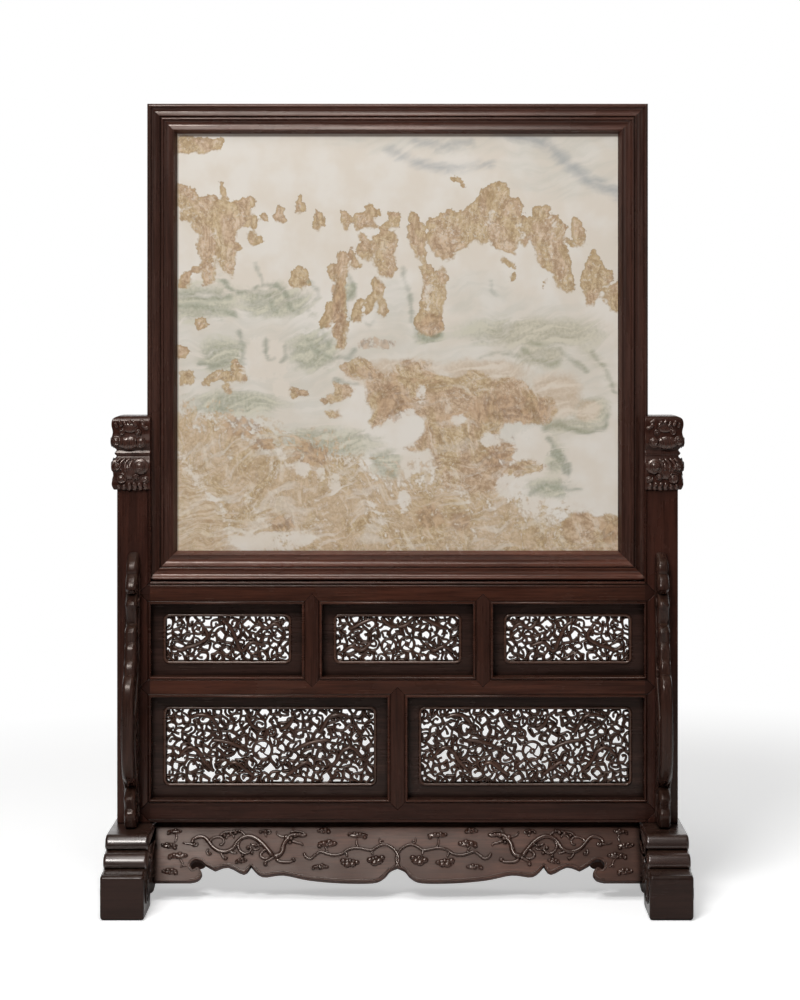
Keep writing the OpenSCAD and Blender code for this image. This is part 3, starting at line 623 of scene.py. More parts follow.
# Stone: outlines, patches (left, top, right, bottom), lines (half-width and points) and lower edges
stone = {
    "unit": 0.949 * mm,
    "columns": 230,
    "rows": 216,
    "bend": 0.4,
    "bendSize": 30,
    "bendSeeds": (3, 4),
    "waves": {"octaves": 4, "each": 4, "finer": 0.55, "weaker": 0.6, "pace": (0.8, 1.25)},
    "shapeGrow": 1.4,
    "patchGrow": 2.0,
    "patchSquare": 2.4,
    "lineGrow": 1.0,
    "lineSoft": 16.0,
    "underDrop": 12,
    "soft": {
        "rock": 6.0, "mass": 26.0, "warm": 12.0, "mist": 34.0, "vein": 12.0, "olive": 60.0, "blue": 30.0,
        "wash": 60.0, "pale": 13.0, "blush": 40.0, "broken": 40.0, "layered": 20.0,
    },
    "shapes": {"rock": rockOutlines},
    "patches": {
        "warm": [
            (184, 205, 198, 213), (202, 206, 217, 213), (200, 250, 232, 285), (288, 262, 373, 288),
            (303, 318, 335, 334), (48, 284, 82, 302), (76, 306, 96, 318), (116, 310, 150, 330),
            (238, 373, 266, 394), (94, 382, 116, 398), (273, 378, 291, 396), (425, 386, 438, 409),
            (156, 140, 166, 196), (246, 180, 264, 198), (340, 264, 354, 272),
        ],
        "mist": [
            (-20, 152, 60, 184), (60, 156, 135, 182), (22, 206, 70, 236), (112, 200, 160, 236),
            (165, 150, 178, 166), (238, 198, 264, 208), (290, 186, 425, 212), (338, 212, 386, 232),
            (395, 262, 430, 290), (368, 286, 424, 297), (369, 312, 390, 338), (350, 346, 405, 362),
            (12, 258, 104, 280), (100, 296, 200, 322), (196, 316, 222, 344),
        ],
        "olive": [(300, 170, 440, 300), (385, 372, 440, 412)],
        "wash": [
            (150, -24, 350, 16), (330, -20, 460, 60), (-20, 176, 160, 330), (150, 196, 300, 236),
            (270, 170, 430, 310), (196, 150, 236, 196), (270, 140, 330, 180),
        ],
        "pale": [
            (54, 398, 136, 416), (152, 340, 161, 360), (338, 294, 374, 326), (64, 206, 110, 246),
            (120, 328, 131, 342), (385, 302, 440, 376), (210, 296, 240, 312), (96, 246, 112, 262),
            (318, 342, 340, 362), (222, 358, 231, 376), (240, 253, 248, 266), (224, 278, 238, 288),
            (276, 281, 286, 289), (304, 301, 320, 311), (140, 336, 147, 346),
        ],
        "blush": [(176, 226, 270, 252), (262, 226, 350, 250), (352, 240, 404, 282), (398, 266, 420, 286)],
        "broken": [(150, 215, 405, 350)],
        "layered": [(-30, 345, 44, 430)],
    },
    "lines": {
        "rock": [
            (1.5, [(325, 126), (330, 128), (336, 132)]), (1, [(334, 147), (336, 141)]),
            (1, [(367, 152), (368, 148)]), (1.5, [(275, 45), (281, 47)]), (1, [(284, 52), (286, 52)]),
            (1, [(384, 104), (390, 107), (396, 111)]), (1, [(415, 117), (416, 118)]),
            (1, [(244, 124), (248, 130)]),
        ],
        "warm": [
            (2, [(335, 304), (337, 315), (330, 326)]),
            (2, [(176, 238), (200, 240), (228, 244), (262, 250)]),
            (2, [(262, 284), (285, 278), (318, 276), (345, 279), (372, 286)]),
            (2, [(250, 270), (258, 264), (264, 261)]),
        ],
        "mist": [
            (3, [(43, 146), (55, 157), (74, 160), (88, 150), (106, 154), (116, 172), (135, 178)]),
            (2, [(300, 196), (330, 190), (362, 198), (395, 206), (418, 224), (435, 251)]),
            (1.5, [(373, 300), (380, 318), (390, 330), (394, 345)]),
        ],
        "vein": [
            (0.4, [(4, 160), (20, 161.5), (30, 158)]), (0.4, [(0, 173), (22, 172), (40, 176), (58, 180)]),
            (0.6, [(46, 146), (50, 153), (60, 158), (74, 158), (80, 151)]),
            (0.5, [(78, 130), (82, 141), (86, 150)]),
            (0.8, [(86, 151), (98, 152), (106, 157), (111, 165), (114, 175), (120, 180)]),
            (0.5, [(92, 160), (93, 172), (100, 176)]),
            (0.4, [(132, 148), (140, 156), (141, 162), (138, 166)]),
            (0.6, [
                (224, 134), (227, 145), (231, 160), (233, 174), (235, 188), (240, 200), (250, 206),
                (262, 200),
            ]),
            (0.6, [(171, 142), (177, 154), (172, 161), (169, 174), (173, 186)]),
            (0.8, [(144, 194), (147, 204), (151, 210)]),
            (0.6, [(128, 206), (140, 217), (156, 224), (170, 224), (178, 216)]),
            (0.4, [(184, 184), (192, 191), (198, 186)]), (0.5, [(62, 198), (65, 212), (66, 230)]),
            (0.5, [(108, 214), (109, 223), (104, 228)]),
            (0.4, [(88, 204), (88, 218), (92, 226), (97, 224)]),
            (0.5, [(158, 245), (168, 248), (180, 249)]),
            (0.9, [(345, 216), (360, 226), (374, 230), (384, 226)]),
            (0.6, [(416, 219), (426, 233), (434, 247), (437, 256)]),
            (0.8, [(366, 294), (378, 289), (392, 294), (408, 298), (426, 294), (430, 282)]),
            (0.6, [(370, 304), (376, 314), (386, 322), (390, 334), (392, 344)]),
            (0.6, [(376, 320), (384, 326), (388, 338)]), (0.6, [(194, 322), (204, 334), (216, 342)]),
            (0.4, [(16, 278), (24, 274)]), (0.4, [(40, 274), (48, 277)]),
            (0.4, [(312, 146), (314, 156), (318, 162)]), (0.4, [(10, 160), (30, 166), (52, 163)]),
            (0.4, [(22, 230), (34, 233), (50, 227)]), (0.4, [(300, 224), (320, 219), (342, 221)]),
            (0.4, [(352, 208), (380, 214), (404, 232), (410, 238)]),
            (0.4, [(352, 360), (366, 352), (388, 354), (402, 356)]),
        ],
        "blue": [
            (2.5, [(318, -2), (350, 2), (372, 12), (386, 27), (400, 38), (414, 48), (440, 58)]),
            (1.5, [(386, 24), (404, 42), (424, 54), (440, 62)]),
            (1, [(212, 17), (242, 29), (272, 36), (312, 29)]), (1, [(238, 8), (263, 12), (293, 8)]),
        ],
        "pale": [
            (2.5, [(1, 318), (14, 338), (24, 356), (44, 372), (52, 396), (60, 410)]),
            (1.2, [(88, 316), (96, 334)]), (1.2, [(102, 318), (114, 338)]), (1.2, [(72, 362), (80, 384)]),
            (1, [(140, 366), (149, 390)]), (1.2, [(190, 364), (208, 392)]), (1, [(252, 322), (258, 340)]),
            (1.2, [(284, 352), (292, 376)]), (0.8, [(271, 96), (276, 108)]),
            (0.8, [(312, 70), (312, 90)]), (0.8, [(374, 82), (378, 92), (370, 118)]),
            (0.8, [(340, 88), (346, 104)]), (0.8, [(250, 148), (250, 176)]),
            (0.6, [(36, 100), (38, 128)]),
        ],
    },
    "below": {
        "mass": [
            (-10, 272), (40, 280), (80, 292), (112, 302), (160, 314), (200, 336), (250, 338), (330, 352),
            (352, 378), (400, 380), (450, 400),
        ],
        "broken": [(-10, 262), (80, 270), (180, 296), (330, 306), (380, 346), (450, 358)],
    },
}
stoneTones = {
    "cream": ((0.725, 0.675, 0.61), (0.69, 0.62, 0.535)),
    "green": ((0.275, 0.28, 0.195), (0.585, 0.555, 0.44)),
    "olive": ((0.37, 0.34, 0.24), (0.61, 0.56, 0.45)),
    "vein": ((0.2, 0.225, 0.165), (0.26, 0.26, 0.17)),
    "ochre": ((0.38, 0.258, 0.138), (0.61, 0.475, 0.305)),
    "rose": ((0.38, 0.25, 0.15), (0.63, 0.475, 0.335)),
    "blush": ((0.5, 0.37, 0.25), (0.68, 0.57, 0.455)),
    "warm": ((0.24, 0.135, 0.075), (0.52, 0.345, 0.215)),
    "layer": ((0.43, 0.29, 0.17), (0.7, 0.6, 0.46)),
}
stonePaints = {
    "wash": (0.55, 0.525, 0.455),
    "blue": (0.33, 0.34, 0.345),
    "streak": (0.69, 0.6, 0.49),
    "fleck": (0.66, 0.61, 0.54),
    "darkVein": (0.27, 0.17, 0.095),
    "darkThread": (0.25, 0.16, 0.09),
    "paleThread": (0.72, 0.62, 0.49),
    "paleVein": (0.74, 0.67, 0.57),
    "edge": (0.4, 0.275, 0.13),
    "mass": (0.63, 0.505, 0.35),
    "rim": (0.24, 0.145, 0.075),
    "open": (0.72, 0.665, 0.585),
    # Colour of the painted shadow that the frame casts on the stone
    "dirt": (0.07, 0.045, 0.032),
}

# Painted shadow under the top bar and along the left edge of the rebate, cast there by the frame: where it
# fades, in mm, and how dark it is
stonePaintedShadow = {"above": (3.6, 1.6), "aboveShare": 0.86, "beside": (0.4, 1.4), "besideShare": 0.6}


# A sum of waves that bends the outlines of the patches
def wobble(across, down, seed):
    waves = stone["waves"]
    rng = random.Random(seed)
    shift = np.zeros(across.shape)
    for octave in range(waves["octaves"]):
        size = stone["bendSize"] * waves["finer"] ** octave
        for _ in range(waves["each"]):
            turn = rng.uniform(0, math.tau)
            pace = math.tau / size * rng.uniform(*waves["pace"])
            phase = rng.uniform(0, math.tau)
            run = across * math.cos(turn) + down * math.sin(turn)
            shift += waves["weaker"] ** octave * np.sin(pace * run + phase)
    return shift


def softPatch(across, down, patch, soft):
    x0, y0, x1, y1 = patch
    grow, square = stone["patchGrow"], stone["patchSquare"]
    a = np.abs((across - (x0 + x1) / 2) / ((x1 - x0) / 2 + grow))
    b = np.abs((down - (y0 + y1) / 2) / ((y1 - y0) / 2 + grow))
    reach = (a**square + b**square) ** (1 / square)
    return np.clip(0.5 + (1 - reach) * (soft + min(x1 - x0, y1 - y0) / 2) / soft, 0, 1)


def pathAway(across, down, points):
    best = np.full(across.shape, 1e9)
    for (x0, y0), (x1, y1) in zip(points[:-1], points[1:]):
        run = (x1 - x0) ** 2 + (y1 - y0) ** 2
        t = np.clip(((across - x0) * (x1 - x0) + (down - y0) * (y1 - y0)) / run, 0, 1)
        best = np.minimum(best, np.hypot(across - x0 - t * (x1 - x0), down - y0 - t * (y1 - y0)))
    return best


def softLine(across, down, line, soft):
    width, points = line
    within = width + stone["lineGrow"] - pathAway(across, down, points)
    return np.clip(0.5 + within / min(soft, stone["lineSoft"]), 0, 1)


def softShape(across, down, points, soft):
    closed = points + points[:1]
    away = pathAway(across, down, closed)
    inside = np.zeros(across.shape, bool)
    for (x0, y0), (x1, y1) in zip(closed[:-1], closed[1:]):
        if y0 != y1:
            left = across < x0 + (down - y0) * (x1 - x0) / (y1 - y0)
            inside ^= ((y0 > down) != (y1 > down)) & left
    return np.clip(0.5 + (np.where(inside, away, -away) + stone["shapeGrow"]) / soft, 0, 1)


def softBelow(across, down, points, soft):
    edge = np.interp(across, [x for x, _ in points], [y for _, y in points])
    return np.clip(0.5 + (down - edge) / (2.0 * soft), 0, 1)


def layer(label, across, down):
    soft = stone["soft"][label]
    value = np.zeros(across.shape)
    for kind, fill in (("shapes", softShape), ("patches", softPatch), ("lines", softLine)):
        for form in stone[kind].get(label, []):
            value = np.maximum(value, fill(across, down, form, soft))
    if label in stone["below"]:
        value = np.maximum(value, softBelow(across, down, stone["below"][label], soft))
    return value


# Each layer goes on the mesh as an attribute, and the rocks once more, lower, for what lies under them
def paintStone(mesh, left, top):
    places = np.zeros(len(mesh.vertices) * 3)
    mesh.vertices.foreach_get("co", places)
    across = (places[0::3] - left) / stone["unit"]
    down = (top - places[2::3]) / stone["unit"]
    shiftAcross, shiftDown = (wobble(across, down, seed) for seed in stone["bendSeeds"])
    across = across + stone["bend"] * shiftAcross
    down = down + stone["bend"] * shiftDown
    layers = {label: layer(label, across, down) for label in stone["soft"]}
    layers["under"] = layer("rock", across, down - stone["underDrop"])
    for label, values in layers.items():
        mesh.attributes.new(label, "FLOAT", "POINT").data.foreach_set("value", values)


def stoneMaterial():
    material = bpy.data.materials.new("figuredStone")
    material.use_nodes = True
    tree = material.node_tree
    shader = tree.nodes["Principled BSDF"]
    place = addNode(tree, "ShaderNodeTexCoord").outputs["Object"]

    def vectorMaths(operation, first, second):
        inputs = {0: first, "Scale" if operation == "SCALE" else 1: second}
        return addNode(tree, "ShaderNodeVectorMath", {"operation": operation}, inputs).outputs[0]

    # Coordinates pushed about by noise, so that streaks flow
    def flowing(vector, scale, amount):
        inputs = {"Vector": vector, "Scale": scale, "Detail": 2.0}
        pushed = addNode(tree, "ShaderNodeTexNoise", None, inputs).outputs["Color"]
        centred = vectorMaths("SUBTRACT", pushed, (0.5, 0.5, 0.5))
        return vectorMaths("ADD", vector, vectorMaths("SCALE", centred, amount))

    def leaning(vector, degrees):
        inputs = {"Vector": vector, "Angle": math.radians(degrees)}
        return addNode(tree, "ShaderNodeVectorRotate", {"rotation_type": "Y_AXIS"}, inputs).outputs[0]

    def attribute(label):
        return addNode(tree, "ShaderNodeAttribute", {"attribute_name": label}).outputs["Fac"]

    def step(value, low, high, outLow=0.0, outHigh=1.0):
        return remap(tree, value, low, high, outLow, outHigh)

    def part(first, *others):
        for other in others:
            first = times(tree, first, other)
        return first

    def add(first, second):
        return maths(tree, "ADD", first, second)

    def more(first, second):
        return maths(tree, "MAXIMUM", first, second)

    def less(first, second):
        return maths(tree, "SUBTRACT", first, second, True)

    def offset(value, amount):
        return part(maths(tree, "SUBTRACT", value, 0.5), amount)

    def over(factor, below, above):
        return mixColours(tree, factor, below, solid(stonePaints[above]) if isinstance(above, str) else above)

    def tone(label, factor):
        first, second = stoneTones[label]
        return mixColours(tree, factor, solid(first), solid(second))

    swirl = flowing(flowing(place, 9.0, 0.07), 45.0, 0.016)
    calm = flowing(place, 14.0, 0.03)
    drips = noise(tree, swirl, (150.0, 150.0, 42.0), 6.0)
    flow = noise(tree, leaning(swirl, 14), (26.0, 26.0, 170.0), 6.0)
    slant = noise(tree, leaning(swirl, -64), (50.0, 50.0, 210.0), 6.0)
    bands = noise(tree, leaning(swirl, -6), (9.0, 9.0, 260.0), 3.0)
    grains = noise(tree, swirl, (150.0, 150.0, 150.0), 6.0)
    zone = noise(tree, place, (30.0, 30.0, 30.0), 3.0)
    patchy = noise(tree, swirl, (55.0, 55.0, 40.0), 3.0)
    specks = noise(tree, place, (420.0, 420.0, 420.0), 3.0)
    veins = noise(tree, swirl, (75.0, 75.0, 60.0), 4.0)
    fine = noise(tree, place, (900.0, 900.0, 900.0), 2.0)
    crumbs = noise(tree, place, (380.0, 380.0, 330.0), 6.0)
    cracks = noise(tree, leaning(calm, -18), (110.0, 110.0, 330.0), 6.0)
    threads = noise(tree, calm, (330.0, 330.0, 110.0), 6.0)
    broken = attribute("broken")
    streak = mixValues(tree, broken, drips, slant)
    lie = mixValues(tree, broken, threads, cracks)

    # A layer whose edge is eaten away by a pattern
    def ragged(label, rough, pattern, crumbly=1.0):
        value = attribute(label)
        shift = add(offset(pattern, rough), offset(grains, rough * crumbly))
        shift = add(shift, offset(specks, rough * 0.7 * crumbly))
        return add(value, part(shift, step(value, 0.0, 0.25)))

    def contour(value, middle, half):
        away = maths(tree, "ABSOLUTE", maths(tree, "SUBTRACT", value, middle))
        return step(away, 0.0, half, 1.0, 0.0)

    # Pale ground, washes, green mist and blue streaks
    cream = tone("cream", step(zone, 0.35, 0.65))
    washTone = over(step(flow, 0.35, 0.65, 0.25, 0.65), cream, "wash")
    colour = over(step(ragged("wash", 0.6, flow, 0.2), 0.1, 0.9, 0.0, 0.8), cream, washTone)
    soft = add(part(flow, 0.75), part(crumbs, 0.25))
    olive = attribute("olive")
    mistTone = over(olive, tone("green", step(soft, 0.38, 0.62)), tone("olive", step(soft, 0.38, 0.62)))
    colour = over(step(ragged("mist", 2.2, flow, 0.2), 0.15, 1.15, 0.0, 0.9), colour, mistTone)
    colour = over(step(ragged("blue", 0.9, flow, 0.2), 0.0, 1.0, 0.0, 0.75), colour, "blue")

    # Brown rock with its flecks, cracks and threads
    coarse = add(part(grains, 0.25), part(streak, 0.25))
    mottle = step(add(coarse, add(part(crumbs, 0.3), part(lie, 0.2))), 0.38, 0.62)
    rockTone = over(step(patchy, 0.42, 0.58), tone("ochre", mottle), tone("rose", mottle))
    rockTone = over(step(streak, 0.56, 0.7, 0.0, 0.35), rockTone, "streak")
    rockTone = over(part(step(specks, 0.56, 0.68), step(zone, 0.42, 0.62, 0.0, 0.5)), rockTone, "fleck")
    rockTone = over(part(contour(veins, 0.5, 0.02), 0.5), rockTone, "darkVein")
    rockTone = over(part(contour(lie, 0.42, 0.02), 0.4), rockTone, "darkThread")
    rockTone = over(part(contour(lie, 0.59, 0.02), 0.35), rockTone, "paleThread")
    rockTone = over(part(contour(veins, 0.58, 0.016), 0.35), rockTone, "paleVein")
    edgeFac = part(step(attribute("rock"), 0.55, 0.98, 0.55, 0.0), step(broken, 0.0, 0.6, 1.0, 0.2))
    rockTone = over(edgeFac, rockTone, "edge")
    rockEdge = ragged("rock", 0.8, streak, 1.5)
    worn = more(broken, step(attribute("under"), 0.3, 0.9, 0.0, 0.9))
    rockFac = mixValues(tree, worn, step(rockEdge, 0.42, 0.62), step(rockEdge, 0.2, 0.85))
    gaps = add(part(flow, 0.55), part(zone, 0.45))
    massFac = part(step(ragged("mass", 1.5, streak), 0.3, 0.85), step(gaps, 0.48, 0.64, 1.0, 0.55))
    massTone = over(step(patchy, 0.4, 0.6, 0.0, 0.35), rockTone, "mass")
    rockTone = over(less(massFac, rockFac), rockTone, massTone)
    blushTone = tone("blush", step(soft, 0.36, 0.64))
    colour = over(step(ragged("blush", 1.4, flow, 0.4), 0.2, 1.0, 0.0, 0.8), colour, blushTone)
    colour = over(more(rockFac, massFac), colour, rockTone)
    rim = less(step(rockEdge, 0.44, 0.5), step(rockEdge, 0.53, 0.64))
    rimFac = part(rim, step(zone, 0.42, 0.56, 0.05, 0.35), step(worn, 0.0, 0.8, 1.0, 0.1))
    colour = over(rimFac, colour, "rim")

    # Openings, warm spots, layers and veins over it all
    colour = over(part(broken, step(flow, 0.5, 0.66), 0.3), colour, cream)
    colour = over(part(broken, step(slant, 0.55, 0.68), 0.24), colour, "open")
    warmFac = part(step(ragged("warm", 1.8, slant), 0.45, 1.0), 0.55)
    colour = over(warmFac, colour, tone("warm", step(grains, 0.4, 0.6)))
    layerTone = tone("layer", step(bands, 0.42, 0.58))
    colour = over(step(attribute("layered"), 0.3, 0.7, 0.0, 0.36), colour, layerTone)
    colour = over(part(step(ragged("pale", 1.5, flow), 0.4, 0.9), 0.85), colour, cream)
    veinFac = part(step(ragged("vein", 0.9, flow, 0.1), 0.25, 0.8), step(zone, 0.35, 0.6, 0.3, 0.7))
    colour = over(veinFac, colour, tone("vein", olive))

    # Painted shadow cast on the stone by the top bar and the left stile
    axes = split(tree, place)
    topEdge = frameHigh.z - frameBars["face"] * mm
    leftEdge = frameLow.x + frameBars["face"] * mm
    heights = [topEdge - down * mm for down in stonePaintedShadow["above"]]
    widths = [leftEdge + away * mm for away in stonePaintedShadow["beside"]]
    above = step(axes[2], *heights, 0.0, stonePaintedShadow["aboveShare"])
    beside = step(axes[0], *widths, stonePaintedShadow["besideShare"], 0.0)
    colour = over(more(above, beside), colour, "dirt")
    tree.links.new(colour, shader.inputs["Base Color"])
    shader.inputs["Roughness"].default_value = 0.4
    shader.inputs["Specular IOR Level"].default_value = 0.25
    bump = addNode(tree, "ShaderNodeBump", None, {"Strength": 0.1, "Distance": 0.1 * mm, "Height": fine})
    tree.links.new(bump.outputs["Normal"], shader.inputs["Normal"])
    return material


# The slab: a fine grid for the paint, with a rim and a back
stoneLow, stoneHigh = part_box("stone_panel")
bm = bmesh.new()
bmesh.ops.create_grid(bm, x_segments=stone["columns"], y_segments=stone["rows"], size=0.5)
for vert in bm.verts:
    u, v = vert.co.x + 0.5, vert.co.y + 0.5
    x = stoneLow.x + u * (stoneHigh.x - stoneLow.x)
    vert.co = (x, stoneLow.y, stoneLow.z + v * (stoneHigh.z - stoneLow.z))
border = [edge for edge in bm.edges if edge.is_boundary]
extruded = bmesh.ops.extrude_edge_only(bm, edges=border)
backVerts = [item for item in extruded["geom"] if isinstance(item, bmesh.types.BMVert)]
backEdges = [item for item in extruded["geom"] if isinstance(item, bmesh.types.BMEdge) and item.is_boundary]
bmesh.ops.translate(bm, verts=backVerts, vec=(0, stoneHigh.y - stoneLow.y, 0))
bmesh.ops.contextual_create(bm, geom=backEdges)
bmesh.ops.recalc_face_normals(bm, faces=bm.faces[:])
stoneMesh = finishMesh("stoneSlab", bm)
paintStone(stoneMesh, frameLow.x + frameBars["face"] * mm, frameHigh.z - frameBars["face"] * mm)
addPiece("stoneSlab", stoneMesh, "screen", "stone", stoneMaterial(), "stone_panel")
print("stage: stone")

# Rolls of the feet: where each starts, how far it swells, and the heights of its top, belly and foot
rolls = [
    {"from": 72.0, "swell": 9.2, "top": 70.0, "belly": 59.2, "low": 54.7},
    {"from": 87.84, "swell": 8.9, "top": 55.5, "belly": 45.0, "low": 40.5},
]
rollSlack = 0.1
rollClear = 1.5


def roundRolls(bm):
    for vert in bm.verts:
        out, z = abs(vert.co.y) / mm, vert.co.z / mm
        for roll in rolls:
            swollen = roll["from"] - rollSlack < out < roll["from"] + roll["swell"]
            if swollen and roll["low"] + rollClear < z < roll["top"] + rollSlack:
                rise = roll["top"] - roll["belly"] if z > roll["belly"] else roll["belly"] - roll["low"]
                share = min(abs(z - roll["belly"]) / rise, 1.0)
                reach = roll["from"] + roll["swell"] * math.sqrt(1 - share**2)
                vert.co.y = math.copysign(reach * mm, vert.co.y)
                break


# Plain members of the stand, with the width and the segments of their rounded edges
standEdges = {"rail": (0.35, 2), "post": (0.8, 2), "foot": (2.8, 3), "spandrel": (3.5, 4), "apron": (0.8, 2)}


def standPiece(node, slot, finish, kind, shape=None):
    width, segments = standEdges[kind]
    return softPiece(node, width, "stand", slot, wood[finish], segments, shape)


for node in ("top_rail", "middle_rail"):
    standPiece(node, "rail_wood", "railAcross", "rail")
standPiece("bottom_rail", "rail_wood", "railLow", "rail")
for node in ("left_strut", "right_strut", "lower_strut"):
    standPiece(node, "rail_wood", "railUpright", "rail")
posts = {}
feet = {}
spandrels = {}
for side in ("left", "right"):
    posts[side] = standPiece(side + "_post", "stand_wood", "postUpright", "post")
    feet[side] = standPiece(side + "_foot", "stand_wood", "footAcross", "foot", roundRolls)
    for face in ("front", "back"):
        node = face + "_" + side + "_spandrel"
        spandrels[node] = standPiece(node, "stand_wood", "standUpright", "spandrel")
print("stage: posts, feet, rails")

# Openwork: curling scrolls packed into the field, with thicker dragon bodies and rings in front of them
openwork = {
    "tongue": 3.0,
    "margin": 11.0,
    "lap": 1.0,
    "corner": 5.0,
    "cornerSteps": 6,
    "deep": 10.0,
    "rim": 1.5,
    "inset": 2.4,
    "largest": 5.6,
    "smallest": 2.2,
    "early": 4.2,
    "earlyShare": 0.35,
    "roomShare": (0.75, 1.0),
    "tries": 9000,
    "bend": 1.5,
    "half": 1.22,
    "scroll": {
        "fullCurl": 4.4,  # radius from which a scroll curls in for a whole turn
        "partCurl": 3.2,
        "partTurns": 0.55,
        "lead": (0.78, 1.0),
        "inner": 0.3,
        "steps": 16,
        "vary": (0.92, 1.15),
        "bulb": (1.1, 1.25, 1.15),
    },
    "body": {"half": 1.4, "swell": 0.9, "from": 0.12, "over": 0.8, "tip": 0.6},
    "scrollAt": 0.4,
    "scrollDeep": 3.2,
    "dragonAt": -1.2,
    "dragonDeep": 1.7,
    "unit": 0.95,  # rings and bodies are drawn right of and below the panel's middle
    "ringParts": [(1.0, 1.5), (0.2, 1.3)],  # share of the radius and half-width
    "armTurns": [0.4, 1.9, 3.3, 5.0],
    "armHalf": 0.8,
    "panels": [
        ("upper_left_panel", "side", False, 11),
        ("upper_middle_panel", "middle", False, 12),
        ("upper_right_panel", "side", True, 11),
        ("lower_left_panel", "lower", False, 14),
        ("lower_right_panel", "lower", True, 15),
    ],
    "lower": {
        "rings": [((-7, 4), 9.5), ((1.5, -14), 4.0)],
        "bodies": [
            [(59, -6), (45, -4), (34, -0.5), (23, 6)],
            [(24, -31), (18, -20), (10, -16.5)],
            [(80, -28), (70, -31), (59, -28), (50, -13)],
            [(42, 19), (35, 17), (27, 22), (16, 31)],
            [(92, 12), (82, 2), (72, 6), (66, 16), (56, 26)],
        ],
    },
    "middle": {
        "rings": [((11, 6), 7.3), ((-11, 6), 7.3)],
        "bodies": [
            [(16.5, -21), (8.5, -13.5), (0, -11.4)],
            [(49.5, -9), (41.5, -12.5), (33.5, -16.5), (24.5, -20)],
            [(55, 14), (46, 8), (36, 12), (27, 4)],
        ],
    },
    "side": {
        "rings": [((-30, -8), 5.5), ((26, 10), 5.5)],
        "bodies": [
            [(-54, 8), (-47, 12), (-40, 9), (-30, 6), (-20, -2), (-26, -14)],
            [(-6, -18), (2, -12), (8, 0), (14, 13), (24, 4), (38, 8)],
            [(30, -18), (38, -10), (48, -15), (56, -8)],
        ],
    },
}


def roundedLoop(centre, half, tall, corner, y):
    steps = openwork["cornerSteps"]
    path = []
    for sx, sz, begin in ((1, 1, 0), (-1, 1, 90), (-1, -1, 180), (1, -1, 270)):
        for i in range(steps + 1):
            angle = math.radians(begin + 90 * i / steps)
            x = centre.x + sx * (half - corner) + corner * math.cos(angle)
            z = centre.z + sz * (tall - corner) + corner * math.sin(angle)
            path.append((x, y, z))
    return path


def panelBoard(name, low, high, y0, y1, margin, corner):
    bm = bmesh.new()
    centre = (low + high) / 2
    half, tall = (high.x - low.x) / 2 - margin, (high.z - low.z) / 2 - margin
    inner = [bm.verts.new(spot) for spot in roundedLoop(centre, half, tall, corner, y0)]
    spots = [(high.x, high.z), (low.x, high.z), (low.x, low.z), (high.x, low.z)]
    outer = [bm.verts.new((x, y0, z)) for x, z in spots]
    count = openwork["cornerSteps"] + 1
    for a in range(4):
        arc = inner[count * a : count * (a + 1)]
        for i in range(count - 1):
            bm.faces.new((outer[a], arc[i], arc[i + 1]))
        ahead = (a + 1) % 4
        bm.faces.new((outer[a], arc[-1], inner[count * ahead], outer[ahead]))
    made = bmesh.ops.extrude_face_region(bm, geom=bm.faces[:], use_keep_orig=True)
    moved = [item for item in made["geom"] if isinstance(item, bmesh.types.BMVert)]
    bmesh.ops.translate(bm, verts=moved, vec=(0, y1 - y0, 0))
    bmesh.ops.recalc_face_normals(bm, faces=bm.faces[:])
    return finishMesh(name, bm)


# Circles that touch their neighbours, with the small ones let in later
def packCircles(reach, rise, taken, rng):
    circles = list(taken)
    made = []
    for attempt in range(openwork["tries"]):
        late = attempt / openwork["tries"] > openwork["earlyShare"]
        x, z = rng.uniform(-reach, reach), rng.uniform(-rise, rise)
        room = openwork["largest"] * rng.uniform(*openwork["roomShare"])
        least = openwork["smallest"] if late else openwork["early"]
        for a, b, r in circles:
            room = min(room, math.hypot(x - a, z - b) - r)
            if room < least:
                break
        if room >= least:
            circles.append((x, z, room))
            made.append((x, z, room))
    return made


# Bends the drawing smoothly, so that no scroll stays round
def bent(x, z, seed):
    size = openwork["bend"]
    across = math.sin(0.36 * z + 0.17 * x + seed) + 0.5 * math.sin(0.71 * x - 0.43 * z + 2.1 * seed)
    up = math.sin(0.33 * x - 0.21 * z + 1.7 * seed) + 0.5 * math.sin(0.62 * z + 0.52 * x + 0.6 * seed)
    return x + size * across, z + size * up


# A scroll runs most of the way round its circle, and a larger one then curls in
def scroll(x, z, r, rng):
    curl = openwork["scroll"]
    steps = curl["steps"]
    begin = rng.uniform(0, math.tau)
    hand = rng.choice((-1, 1))
    inward = 1.0 if r > curl["fullCurl"] else curl["partTurns"] if r > curl["partCurl"] else 0.0
    lead = rng.uniform(*curl["lead"])
    path = [
        Vector((x + r * math.cos(begin + hand * a), z + r * math.sin(begin + hand * a)))
        for a in (math.tau * lead * i / steps for i in range(steps))
    ]
    if inward:
        path += spiral((x, z), r, r * curl["inner"], begin + hand * math.tau * lead, hand * inward, steps)
    width = openwork["half"] * rng.uniform(*curl["vary"])
    widths = [width] * len(path)
    if inward:
        widths[-3:] = [width * share for share in curl["bulb"]]
    return path, widths


def scrollMesh(name, centre, half, tall, rings, flip, seed):
    rng = random.Random(seed)
    deep = openwork["scrollAt"] * mm
    strokes = []
    reach, rise = half / mm - openwork["inset"], tall / mm - openwork["inset"]
    for x, z, r in packCircles(reach, rise, rings, rng):
        path, widths = scroll(x, z, r, rng)
        moved = [bent(p.x, p.y, seed) for p in path]
        spots = [(centre.x + flip * a * mm, deep, centre.z + b * mm) for a, b in moved]
        strokes.append((spots, [w * mm for w in widths], False))
    mesh = strokeMesh(name, strokes)
    for vert in mesh.vertices:
        vert.co.y = deep + (vert.co.y - deep) * openwork["scrollDeep"]
        vert.co.x = min(max(vert.co.x, centre.x - half + mm), centre.x + half - mm)
        vert.co.z = min(max(vert.co.z, centre.z - tall + mm), centre.z + tall - mm)
    return mesh


